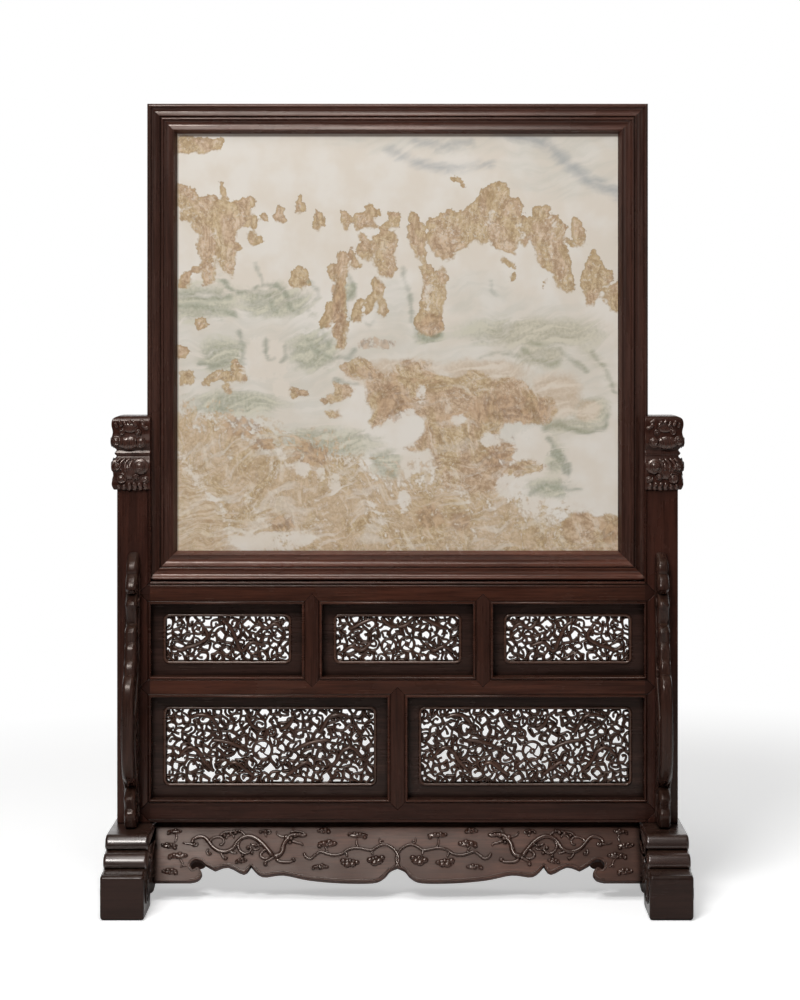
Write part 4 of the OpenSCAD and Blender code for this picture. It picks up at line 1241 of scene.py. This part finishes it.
def dragonMesh(name, centre, bodies, rings, signs, flip, seed):
    deep = openwork["dragonAt"] * mm
    unit = openwork["unit"]
    thick = openwork["body"]
    strokes = []

    def placed(path):
        return [(centre.x + p.x * mm, deep, centre.z + p.y * mm) for p in path]

    for sign in signs:
        for body in bodies:
            spots = placed(smoothPath([(sign * a * unit, -b * unit) for a, b in body], 6))
            count = len(spots)
            shares = [math.sin(math.pi * (thick["from"] + thick["over"] * i / count)) for i in range(count)]
            widths = [thick["half"] + thick["swell"] * share for share in shares]
            widths[0] *= thick["tip"]
            widths[-1] *= thick["tip"]
            strokes.append((spots, [w * mm for w in widths], False))
    for x, z, r in rings:
        x, z = bent(x, z, seed)
        for share, width in openwork["ringParts"]:
            ring = spiral((flip * x, z), share * r, share * r, 0, 1, 24)[:-1]
            strokes.append(evenStroke(placed(ring), width, True))
        for turn in openwork["armTurns"]:
            arm = spiral((flip * x, z), 0.3 * r, r, turn, 0.1, 60)
            strokes.append(evenStroke(placed(arm), openwork["armHalf"]))
    mesh = strokeMesh(name, strokes)
    for vert in mesh.vertices:
        vert.co.y = deep + (vert.co.y - deep) * openwork["dragonDeep"]
    return mesh


def openPanel(node, kind, mirror, seed):
    low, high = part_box(node)
    centre = (low + high) / 2
    tongue, lap, corner = openwork["tongue"] * mm, openwork["lap"] * mm, openwork["corner"] * mm
    half = (high.x - low.x) / 2 - tongue - openwork["margin"] * mm
    tall = (high.z - low.z) / 2 - tongue - openwork["margin"] * mm
    y0, y1 = -openwork["deep"] / 2 * mm, openwork["deep"] / 2 * mm
    name = pieceName(node)
    edgeLow = Vector((low.x + tongue - lap, 0, low.z + tongue - lap))
    edgeHigh = Vector((high.x - tongue + lap, 0, high.z - tongue + lap))
    margin = (openwork["margin"] + openwork["lap"] + openwork["rim"]) * mm
    board = panelBoard(name, edgeLow, edgeHigh, y0, y1, margin, corner)
    addPiece(name, board, "stand", "panel_wood", wood["panelAcross"], node)
    loops = [roundedLoop(centre, half - lap, tall - lap, corner, y) for y in (y0, y1)]
    rims = [evenStroke(loop, openwork["rim"], True) for loop in loops]
    unit = openwork["unit"]
    flip = -1 if mirror else 1
    signs = (flip,) if kind == "side" else (1, -1)
    rings = [(a * unit, -b * unit, r * unit) for (a, b), r in openwork[kind]["rings"]]
    bodies = openwork[kind]["bodies"]
    carvings = {
        "Rim": strokeMesh(name + "Rim", rims),
        "Scrolls": scrollMesh(name + "Scrolls", centre, half, tall, rings, flip, seed),
        "Dragons": dragonMesh(name + "Dragons", centre, bodies, rings, signs, flip, seed),
    }
    for ending, mesh in carvings.items():
        addPiece(name + ending, mesh, "stand", "panel_wood", wood["panelCarved"])


for panel in openwork["panels"]:
    openPanel(*panel)
print("stage: openwork")

# Raised beads round the openings, on both faces, up the posts' inner edges and along the seat of the screen
beads = {
    "round": 1.1,
    "out": 0.9,
    "sides": 12,
    "sharp": 50,
    "line": 0.9,
    "into": 0.5,
    "top": 384,
    "seat": (1.2, 4.0),  # below the top of the rail
}


def beadLoop(bm, x0, z0, x1, z1, y):
    r, out, sides = beads["round"] * mm, beads["out"] * mm, beads["sides"]
    rings = []
    for x, z, sx, sz in ((x0, z0, -1, -1), (x1, z0, 1, -1), (x1, z1, 1, 1), (x0, z1, -1, 1)):
        ring = []
        for i in range(sides):
            angle = math.tau * i / sides
            push = out + r * math.cos(angle)
            ring.append(bm.verts.new((x + sx * push, y + r * math.sin(angle), z + sz * push)))
        rings.append(ring)
    for a in range(4):
        here, ahead = rings[a], rings[(a + 1) % 4]
        for i in range(sides):
            k = (i + 1) % sides
            bm.faces.new((here[i], here[k], ahead[k], ahead[i]))


bm = bmesh.new()
tongue = openwork["tongue"] * mm
seatLow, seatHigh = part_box("top_rail")
for node, *_ in openwork["panels"]:
    low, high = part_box(node)
    for y in (seatLow.y, seatHigh.y):
        beadLoop(bm, low.x + tongue, low.z + tongue, high.x - tongue, high.z - tongue, y)
bmesh.ops.recalc_face_normals(bm, faces=bm.faces[:])
openingMesh = finishMesh("openingBeads", bm, beads["sharp"])
addPiece("openingBeads", openingMesh, "stand", "rail_wood", wood["railAcross"])
lines = []
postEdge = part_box("upper_right_panel")[1].x - tongue
for y in (seatLow.y, seatHigh.y):
    for sign in (-1, 1):
        x = sign * (postEdge + beads["out"] * mm)
        path = [(x, y, seatHigh.z - beads["into"] * mm), (x, y, beads["top"] * mm)]
        lines.append(evenStroke(path, beads["line"]))
    for down in beads["seat"]:
        z = seatHigh.z - down * mm
        lines.append(evenStroke([(-postEdge, y, z), (postEdge, y, z)], beads["line"]))
addPiece("edgeBeads", strokeMesh("edgeBeads", lines), "stand", "rail_wood", wood["railAcross"])
print("stage: beads")

# Aprons: relief drawn for one half, in units along the top edge and down the slope from the middle
apron = {
    "across": 0.94,
    "down": 0.98,
    "slopeOut": 0.5,
    "slopeUp": (0.2, 0.9),
    "cloud": {"wide": 0.95, "tall": 0.8, "rise": 1.1},
    "lobe": {"wide": 1.15, "least": 1.3, "rise": 2.3},
    "dot": {"lift": 0.9, "rise": 1.5},
    "bead": {"inset": 1.8, "half": 0.55, "clear": 4, "below": 20},
    "strokes": [  # two half-widths and the points
        (0.9, 1.5, [(216, 17), (211.5, 18), (207, 18.5), (204, 20), (201, 19), (202, 17)]),
        (1.7, 2.5, [
            (206, 18), (205.5, 14), (200, 11), (194.5, 11.5), (190, 15.5), (185.5, 21), (179.5, 25),
            (172, 26), (165, 22.5), (161, 16.5), (156, 12), (149, 10.5), (142, 13), (135.5, 18),
            (130, 24), (125, 30.5),
        ]),
        (1.5, 1.0, [(187, 20), (188, 15), (184, 12), (178, 11.5), (174.5, 15), (176, 19), (179, 18.5)]),
        (1.5, 1.2, [(179, 10.5), (174, 7), (167.5, 6), (160, 5), (155, 8), (152, 11)]),
        (1.6, 1.1, [(157.5, 13.5), (160, 19), (158, 25), (153, 28), (148, 26), (147, 22.5), (149.5, 21)]),
        (1.4, 0.9, [(189.5, 23), (191, 26.5), (189, 29), (186, 28)]),
        (1.4, 0.9, [(177, 26), (175.5, 30), (172.5, 33), (170, 31)]),
        (1.2, 0.9, [(169, 25.5), (164, 27.5), (160.5, 27)]),
        (1.2, 0.9, [(148, 18), (142, 20), (137, 18.5)]),
        (1.1, 0.9, [(145.5, 24), (141, 24), (138, 22.5)]),
        (1.2, 0.9, [(172.5, 13.5), (170.5, 10), (166, 9.5), (164, 13)]),
        (1.7, 1.2, [(131, 23.5), (136, 26.5), (137, 30.5), (133, 33), (128, 32)]),
        (1.6, 1.1, [(123, 31), (128, 34), (132.5, 36.5), (132, 40)]),
        (2.4, 2.2, [(125, 30.5), (118, 29), (115, 24), (114.5, 19.5), (112, 15), (108, 12)]),
        (2.4, 1.5, [(112, 14), (107.5, 10), (101, 9), (95, 10), (91, 8.5)]),
        (1.5, 1.0, [(106.5, 15), (101, 17), (96.5, 18), (95, 20.5)]),
        (1.3, 0.9, [(108, 7), (103, 5.5), (96.5, 6.5), (91, 10)]),
        (1.5, 0.8, [(111, 11), (116, 11), (120.5, 9), (122, 5.5)]),
        (1.3, 0.8, [(105.5, 6.5), (105, 4), (106, 1.5)]),
        (1.8, 1.2, [(122, 33), (117.5, 36), (112, 36.5), (106.5, 36), (104, 33)]),
        (1.2, 0.9, [(139, 6), (135, 4.5), (129.5, 5), (128, 7), (131, 8.5)]),
        (1.1, 0.8, [(135, 6), (132.5, 8.5), (132, 11.5)]),
        (1.5, 1.5, [
            (94, 27), (91.5, 31.5), (87, 33), (82.5, 29.5), (77, 26), (71, 28), (64, 29.5), (56.5, 28.5),
            (52, 25.5), (46.5, 23), (39, 22.5), (31, 24), (25.5, 24.5), (21.8, 22), (17.5, 19.8),
            (12.5, 19), (6.8, 21), (1.8, 25.6), (-1, 31.5), (-0.4, 37), (2.4, 41.5),
        ]),
        (1.2, 1.0, [(70.5, 28), (71, 24), (73, 21)]),
        (1.2, 1.0, [(39, 22.5), (41, 18), (41, 13)]),
        (1.2, 1.0, [(52, 25.5), (51, 28.5), (50, 31.5)]),
        (1.2, 1.0, [(25, 24), (25.5, 27), (24.5, 29.5)]),
        (1.2, 0.8, [(14.5, 19), (18, 16), (18, 12)]),
        (1.0, 0.8, [(18, 15.5), (16, 15), (14, 16)]),
        (1.1, 0.9, [(223, 8), (222, 13), (224, 17)]),
        (1.2, 0.9, [(218, 33), (215, 38), (216.5, 42)]),
        (1.0, 0.8, [(215, 38.5), (213, 40.5), (211, 40.5)]),
    ],
    "clouds": [  # centre, half-width and half-height
        ((224.5, 6), 8, 3), ((229, 20), 8.5, 3.6), ((220, 30), 10.5, 4), ((227, 45.5), 8, 4),
        ((156.5, 35), 6, 3.2), ((74, 5), 6.5, 3.6), ((70.5, 18), 10, 4.6), ((40, 9.5), 10.5, 3.6),
        ((48, 37), 9, 5.4), ((21.5, 34.5), 8, 6), ((77, 41), 8.8, 3.4),
    ],
    "tilts": [12, -16, 8, -10, 14, -6, 10, -12, 172, 190, 6],
    "lobes": [  # place and size, as shares of a cloud
        (-0.72, 0.22, 0.5), (-0.2, -0.34, 0.6), (0.34, -0.2, 0.56), (0.8, 0.26, 0.44), (0.05, 0.4, 0.4),
    ],
    "dots": [  # place and radius
        (112, 11.5, 2.4), (107, 13, 2.0), (103, 9.5, 2.6), (98, 9, 2.0), (108, 17, 1.6), (116, 23, 1.6),
        (121, 31, 2.0), (163, 7, 2.0), (168, 8, 2.0), (174, 10, 1.7), (159, 5.5, 1.6), (150, 22, 1.8),
        (142, 20, 1.6), (137, 19, 1.5), (204, 19, 1.8), (188, 28, 1.5), (172, 33, 1.5), (133, 6, 1.8),
        (138, 6.5, 1.5), (104, 34, 2.0), (132, 38.5, 1.8), (128, 27, 1.4), (146, 27.5, 1.5),
        (155, 30, 1.4),
    ],
}


# A line that follows the cusped lower edge of an outline, a little way in
def edgeLine(flat):
    bead = apron["bead"]
    count = len(flat)
    ahead = flat[1:] + flat[:1]
    area = sum(p.x * q.y - q.x * p.y for p, q in zip(flat, ahead))
    inside = []
    for i in range(count):
        bisector = ((ahead[i] - flat[i]).normalized() + (flat[i] - flat[i - 1]).normalized()).normalized()
        inward = Vector((-bisector.y, bisector.x)) * (1 if area > 0 else -1)
        inside.append(flat[i] + inward * bead["inset"] * mm)
    reach = max(abs(p.x) for p in flat) - bead["clear"] * mm
    kept = [abs(p.x) < reach and p.y > bead["below"] * mm for p in flat]
    first = next(i for i in range(count) if kept[i] and not kept[i - 1])
    line = []
    for k in range(count):
        i = (first + k) % count
        if not kept[i]:
            break
        line.append(inside[i])
    return line


def apronRelief(node, facing):
    bm = cleanCopy(node)
    out, (low, high) = apron["slopeOut"], apron["slopeUp"]
    faces = [f for f in bm.faces if f.normal.y * facing > out and low < f.normal.z < high]
    front = max(faces, key=lambda f: f.calc_area())
    outline = [vert.co.copy() for vert in front.verts]
    normal = front.normal.copy()
    bm.free()
    topEdge = max(outline, key=lambda p: p.z)
    origin = Vector((0, topEdge.y, topEdge.z))
    slope = Vector((0, normal.z * facing, -abs(normal.y))).normalized()

    def spot(a, b, lift=0.0):
        across = Vector((a * apron["across"] * mm, 0, 0))
        return across + origin + slope * (b * apron["down"] * mm) + normal * lift

    cloud, lobe, dot = apron["cloud"], apron["lobe"], apron["dot"]
    strokes = []
    bumps = []
    for sign in (-1, 1):
        for first, last, points in apron["strokes"]:
            path = smoothPath([(sign * a, b) for a, b in points], 5)
            strokes.append(taperedStroke([spot(p.x, p.y) for p in path], first, last))
        for ((a, b), half, tall), tilt in zip(apron["clouds"], apron["tilts"]):
            cosine, sine = math.cos(math.radians(tilt)), math.sin(math.radians(tilt))
            cloudWide, cloudTall = cloud["wide"] * half * mm, cloud["tall"] * tall * mm
            bumps.append((spot(sign * a, b), normal, cloudWide, cloudTall, cloud["rise"] * mm))
            for u, v, size in apron["lobes"]:
                along, down = u * half, v * tall
                centre = (sign * (a + along * cosine - down * sine), b + along * sine + down * cosine)
                reach = max(size * tall, lobe["least"])
                lobeWide = lobe["wide"] * reach * mm
                bumps.append((spot(*centre), normal, lobeWide, reach * mm, lobe["rise"] * mm))
        for a, b, r in apron["dots"]:
            bumps.append((spot(sign * a, b, dot["lift"] * mm), normal, r * mm, r * mm, dot["rise"] * mm))
    line = edgeLine([Vector((p.x, (p - origin).dot(slope))) for p in outline])
    path = [Vector((p.x, 0, 0)) + origin + slope * p.y for p in line]
    strokes.append(evenStroke(path, apron["bead"]["half"]))
    return withBumps(strokeMesh(node + "Relief", strokes), bumps)


for node, facing in (("front_apron", -1), ("back_apron", 1)):
    standPiece(node, "apron_wood", "apronAcross", "apron")
    name = pieceName(node) + "Relief"
    addPiece(name, apronRelief(node, facing), "stand", "apron_wood", wood["apronCarved"])
print("stage: aprons")

# Relief on the post heads: places outward from the post's middle line and above the ground
headRelief = {
    "middle": 249,
    "bossRound": 0.92,
    "bossRise": 0.55,
    "bossMost": 2.6,
    "coil": {"inner": 0.28, "begin": 0.6, "turns": 1.6, "lift": 0.15, "thin": 0.7},
    "ridgeLift": -0.3,
    "onFace": {"dome": 1.0, "boss": 1.0, "coil": 0.85, "ridge": 1.15},
    "onSide": {"dome": 0.35, "boss": 0.5, "coil": 0.6, "ridge": 0.5},
    "domes": [  # place, two radii and height
        (4.8, 429.5, 11, 6.5, 2.2), (3.2, 443.5, 8, 5, 0.9), (3.6, 402, 9, 8, 1.8), (-6, 407, 9, 8, 1.4),
    ],
    "bosses": [  # place and radius
        (-7.2, 430, 5.4), (16.2, 431, 4.6), (-4.5, 439.4, 3.0), (11, 439.4, 3.0), (-6, 407, 5.6),
        (15.8, 406.5, 3.6), (11.5, 395.6, 5.4), (-2.6, 397.2, 3.4), (-11.6, 395, 3.4),
    ],
    "ridges": [  # half-width and points
        (1.7, [(-14.4, 443), (-10.7, 444), (-7.6, 448)]),
        (1.5, [(-11, 448), (-8.5, 449.5), (-6, 451)]),
        (1.7, [(-3.5, 445), (-1, 447.3), (0.2, 450)]),
        (1.9, [(2.4, 447), (3.6, 449), (4.6, 450.5)]),
        (1.5, [(6.2, 444.5), (8, 447), (8.6, 449.6)]),
        (1.7, [(10.5, 445), (12.6, 447.8), (13.6, 450.6)]),
        (1.5, [(15, 443.5), (16.5, 446), (17, 448.5)]),
        (0.8, [(-0.4, 434.6), (0.8, 430), (-0.4, 425)]),
        (0.8, [(3.6, 436), (5.2, 430.5), (4, 425)]),
        (0.8, [(8, 435), (9.8, 430), (8.4, 425)]),
        (1.4, [(-3, 414), (1.2, 412), (3.4, 408), (2.8, 403)]),
        (1.4, [(2.4, 414.4), (6.2, 411.8), (8, 407.5), (7, 402)]),
        (1.5, [(7, 414.6), (10.6, 412), (12.3, 408), (11.4, 403)]),
        (1.4, [(11.4, 414.4), (14, 412.8), (15.4, 410.6)]),
        (1.9, [(-9.4, 391), (-11.4, 388.4), (-11, 385.2)]),
        (2.0, [(-4.2, 391.6), (-6.6, 388.6), (-6, 384.8)]),
        (2.0, [(0.6, 392), (-1.6, 388.6), (-1, 384.6)]),
        (2.0, [(5, 391.6), (3.4, 388.4), (4.2, 385)]),
        (1.8, [(9.6, 390), (8.6, 387.6), (9.4, 385.2)]),
        (1.8, [(14.8, 390), (13.8, 388), (14.4, 385.8)]),
    ],
}


def headStrokes(post, spotAt, direction):
    size = headRelief["onSide"] if direction.x else headRelief["onFace"]
    coil = headRelief["coil"]
    bumps = []
    tree = castTree(post)
    for a, z, wide, tall, height in headRelief["domes"]:
        hit, _, _, _ = tree.ray_cast(spotAt(a, z), direction)
        bumps.append((hit, -direction, wide * mm, tall * mm, height * size["dome"] * mm))
    tree = castTree(post, bumps)
    for a, z, r in headRelief["bosses"]:
        hit, normal, _, _ = tree.ray_cast(spotAt(a, z), direction)
        if hit is not None:
            rise = min(headRelief["bossMost"], headRelief["bossRise"] * r) * size["boss"]
            reach = r * headRelief["bossRound"] * mm
            bumps.append((hit, normal, reach, reach, rise * mm))
    tree = castTree(post, bumps)
    drawn = []
    for a, z, r in headRelief["bosses"]:
        turns = coil["turns"] * (-1 if a < 0 else 1)
        path = spiral((a, z), r, r * coil["inner"], coil["begin"], turns)
        drawn.append((path, coil["lift"], size["coil"], coil["thin"] * size["coil"]))
    for width, points in headRelief["ridges"]:
        half = width * size["ridge"]
        drawn.append((smoothPath(points, 5), headRelief["ridgeLift"], half, half))
    strokes = []
    for path, lift, first, last in drawn:
        laid = drape(tree, [spotAt(p.x, p.y) for p in path], direction, lift * mm)
        if laid:
            strokes.append(taperedStroke(laid, first, last))
    return strokes, bumps


# Far enough out to start a ray outside the stand, in metres
outside = {"depth": 0.2, "side": 0.5}

for side, sign in (("left", -1), ("right", 1)):
    middle = sign * headRelief["middle"] * mm

    def frontSpot(a, z):
        return Vector((middle + sign * a * mm, -outside["depth"], z * mm))

    def backSpot(a, z):
        return Vector((middle + sign * a * mm, outside["depth"], z * mm))

    def outerSpot(a, z):
        return Vector((sign * outside["side"], a * mm, z * mm))

    strokes = []
    bumps = []
    for spotAt, direction in ((frontSpot, (0, 1, 0)), (backSpot, (0, -1, 0)), (outerSpot, (-sign, 0, 0))):
        lines, balls = headStrokes(posts[side], spotAt, Vector(direction))
        strokes += lines
        bumps += balls
    name = side + "HeadRelief"
    addPiece(name, withBumps(strokeMesh(name, strokes), bumps), "stand", "stand_wood", wood["headCarved"])
print("stage: post heads")

# Relief on the sides of feet and spandrels: places along Y and above the ground
sideRelief = {
    "spiral": {"half": 1.3, "inner": 0.15, "begin": 0.4, "turns": 1.8},
    "strokeHalf": 1.5,
    "headHalf": 1.4,
    "headSide": [(0, -0.9), (-0.6, -0.85), (-1, 0), (-0.62, 0.85), (-0.2, 0.5), (-0.34, -0.05), (-0.6, 0.1)],
    "lift": 0.1,
    "foot": {
        "spirals": [(97, 21, 13, -1), (66, 42, 8, 1)],  # centre, radius and hand
        "strokes": [
            [(12, 44), (26, 54), (44, 52), (58, 49)],
            [(74, 40), (84, 36), (90, 30)],
            [(0, 26), (14, 30), (30, 24), (48, 26)],
        ],
        "heads": [((0, 46), 11, 9)],  # centre, half-width and half-height of a cloud head
    },
    "spandrel": {
        "spirals": [(50, 165, 15, 1), (33, 214, 8, -1), (31, 96, 9, -1), (30, 280, 5, 1), (32, 250, 5, -1)],
        "strokes": [
            [
                (34, 78), (36, 100), (58, 128), (66, 170), (48, 196), (32, 222), (34, 250), (28, 275),
                (26, 305),
            ],
        ],
        "heads": [],
    },
}


def sideStrokes(piece, kind, sign, hands):
    design, curl = sideRelief[kind], sideRelief["spiral"]
    drawn = []
    for hand in hands:
        for y, z, r, turn in design["spirals"]:
            path = spiral((hand * y, z), r, r * curl["inner"], curl["begin"], curl["turns"] * turn * hand)
            drawn.append((path, curl["half"]))
        for points in design["strokes"]:
            drawn.append((smoothPath([(hand * y, z) for y, z in points], 6), sideRelief["strokeHalf"]))
    for (y, z), half, tall in design["heads"]:
        for hand in (-1, 1):
            points = [(y + hand * a * half, z - b * tall) for a, b in sideRelief["headSide"]]
            drawn.append((smoothPath(points, 4), sideRelief["headHalf"]))
    tree = castTree(piece)
    strokes = []
    for x, way in ((sign * outside["side"], -sign), (0.0, sign)):
        for path, width in drawn:
            spots = [Vector((x, p.x * mm, p.y * mm)) for p in path]
            laid = drape(tree, spots, Vector((way, 0, 0)), sideRelief["lift"] * mm)
            if laid:
                strokes.append(taperedStroke(laid, width, width))
    return strokes


for side, sign in (("left", -1), ("right", 1)):
    name = side + "FootRelief"
    strokes = sideStrokes(feet[side], "foot", sign, (-1, 1))
    addPiece(name, strokeMesh(name, strokes), "stand", "stand_wood", wood["footAcross"])
    for face, hand in (("front", -1), ("back", 1)):
        node = face + "_" + side + "_spandrel"
        name = pieceName(node) + "Relief"
        strokes = sideStrokes(spandrels[node], "spandrel", sign, (hand,))
        addPiece(name, strokeMesh(name, strokes), "stand", "stand_wood", wood["standUpright"])
print("stage: side relief")

# Floor and wall, white to the camera, with the shadow kept near the object; distances in metres
stageSet = {
    "half": 6.0,
    "wall": 6.0,
    "high": 3.0,
    "centre": (0.12, 0.15, 0.0),
    "near": 0.6,
    "far": 1.2,
    "paint": 0.9,
    "outerPaint": 0.15,
    "paintNear": 0.95,
    "paintFar": 1.4,
    "glow": 0.43,
}


# The wall is white to reflections too, and the floor is not, so that the wood isn't washed out from below
def stageMaterial(name, glow, reflected, outerPaint):
    material = bpy.data.materials.new(name)
    material.use_nodes = True
    tree = material.node_tree
    tree.nodes.remove(tree.nodes["Principled BSDF"])
    rays = addNode(tree, "ShaderNodeLightPath").outputs
    place = addNode(tree, "ShaderNodeTexCoord").outputs["Object"]
    inputs = {0: place, 1: stageSet["centre"]}
    away = addNode(tree, "ShaderNodeVectorMath", {"operation": "DISTANCE"}, inputs).outputs["Value"]
    far = remap(tree, away, stageSet["near"], stageSet["far"])
    tint = remap(tree, away, stageSet["paintNear"], stageSet["paintFar"], stageSet["paint"], outerPaint)
    paint = addNode(tree, "ShaderNodeBsdfDiffuse", None, {"Color": tint})
    mirrored = maths(tree, "ADD", rays["Is Glossy Ray"], rays["Is Transmission Ray"], True)
    seen = maths(tree, "ADD", rays["Is Camera Ray"], times(tree, mirrored, reflected), True)
    haze = addNode(tree, "ShaderNodeEmission", None, {"Strength": times(tree, seen, glow)})
    near = addNode(tree, "ShaderNodeAddShader", None, {0: paint.outputs[0], 1: haze.outputs[0]})
    white = addNode(tree, "ShaderNodeEmission", None, {"Strength": 1.0})
    share = times(tree, rays["Is Camera Ray"], far)
    mixed = addNode(tree, "ShaderNodeMixShader", None, {0: share, 1: near.outputs[0], 2: white.outputs[0]})
    tree.links.new(mixed.outputs[0], tree.nodes["Material Output"].inputs["Surface"])
    return material


def stagePlane(name, corners, material):
    bm = bmesh.new()
    bm.faces.new([bm.verts.new(corner) for corner in corners])
    mesh = bpy.data.meshes.new(name)
    bm.to_mesh(mesh)
    bm.free()
    mesh.materials.append(material)
    plane = bpy.data.objects.new(name, mesh)
    bpy.context.collection.objects.link(plane)
    plane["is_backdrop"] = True


wide, back, tall = stageSet["half"], stageSet["wall"], stageSet["high"]
floorCorners = [(-wide, -wide, 0), (wide, -wide, 0), (wide, back, 0), (-wide, back, 0)]
wallCorners = [(-wide, back, 0), (wide, back, 0), (wide, back, tall), (-wide, back, tall)]
floorPaint = stageMaterial("floorPaint", stageSet["glow"], 0.0, stageSet["outerPaint"])
wallPaint = stageMaterial("wallPaint", 1.0, 1.0, stageSet["paint"])
stagePlane("floor", floorCorners, floorPaint)
stagePlane("wall", wallCorners, wallPaint)

# Soft boxes and a dim room
lights = {
    "key": {"at": (-0.58, -1.88, 1.72), "aim": (0.0, 0.0, 0.42), "size": (0.62, 0.52), "power": 31.0},
    "over": {"at": (-0.12, -0.8, 2.1), "aim": (0.0, 0.0, 0.3), "size": (0.55, 1.0), "power": 14.5},
    "fill": {"at": (2.2, -1.6, 1.1), "aim": (0.0, 0.0, 0.4), "size": (1.2, 1.2), "power": 3.0},
    "rim": {"at": (0.3, 2.2, 2.2), "aim": (0.0, 0.0, 0.3), "size": (2.0, 1.2), "power": 12.0},
}
room = {"tint": (1.0, 0.985, 0.965), "strength": 0.1, "seen": (1.0, 1.0, 1.0)}
for name, light in lights.items():
    lamp = bpy.data.lights.new(name, "AREA")
    lamp.shape = "RECTANGLE"
    lamp.size, lamp.size_y = light["size"]
    lamp.energy = light["power"]
    holder = bpy.data.objects.new(name, lamp)
    bpy.context.collection.objects.link(holder)
    holder.location = light["at"]
    holder.rotation_euler = (Vector(light["aim"]) - Vector(light["at"])).to_track_quat("-Z", "Y").to_euler()
    holder.visible_camera = False
world = bpy.data.worlds.new("room")
world.use_nodes = True
tree = world.node_tree
dim = tree.nodes["Background"]
dim.inputs["Color"].default_value = solid(room["tint"])
dim.inputs["Strength"].default_value = room["strength"]
bright = addNode(tree, "ShaderNodeBackground", None, {"Color": solid(room["seen"]), "Strength": 1.0})
seen = addNode(tree, "ShaderNodeLightPath").outputs["Is Camera Ray"]
around = addNode(tree, "ShaderNodeMixShader", None, {0: seen, 1: dim.outputs[0], 2: bright.outputs[0]})
tree.links.new(around.outputs[0], tree.nodes["World Output"].inputs["Surface"])
bpy.context.scene.world = world

# A level camera, with the framing in its shift
camera = {
    "at": (0.0165, -2.448, 0.522),
    "lens": 92.6,
    "sensor": 36.0,
    "shift": (-0.015, -0.1555),
    "reach": 50.0,
}
lensData = bpy.data.cameras.new("camera")
lensData.lens = camera["lens"]
lensData.sensor_width = camera["sensor"]
lensData.shift_x, lensData.shift_y = camera["shift"]
lensData.clip_end = camera["reach"]
viewer = bpy.data.objects.new("camera", lensData)
bpy.context.collection.objects.link(viewer)
viewer.location = camera["at"]
viewer.rotation_euler = (math.radians(90), 0, 0)
bpy.context.scene.camera = viewer
bpy.context.scene.view_settings.view_transform = "Standard"
print("stage: floor, lights, camera")

low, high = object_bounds()
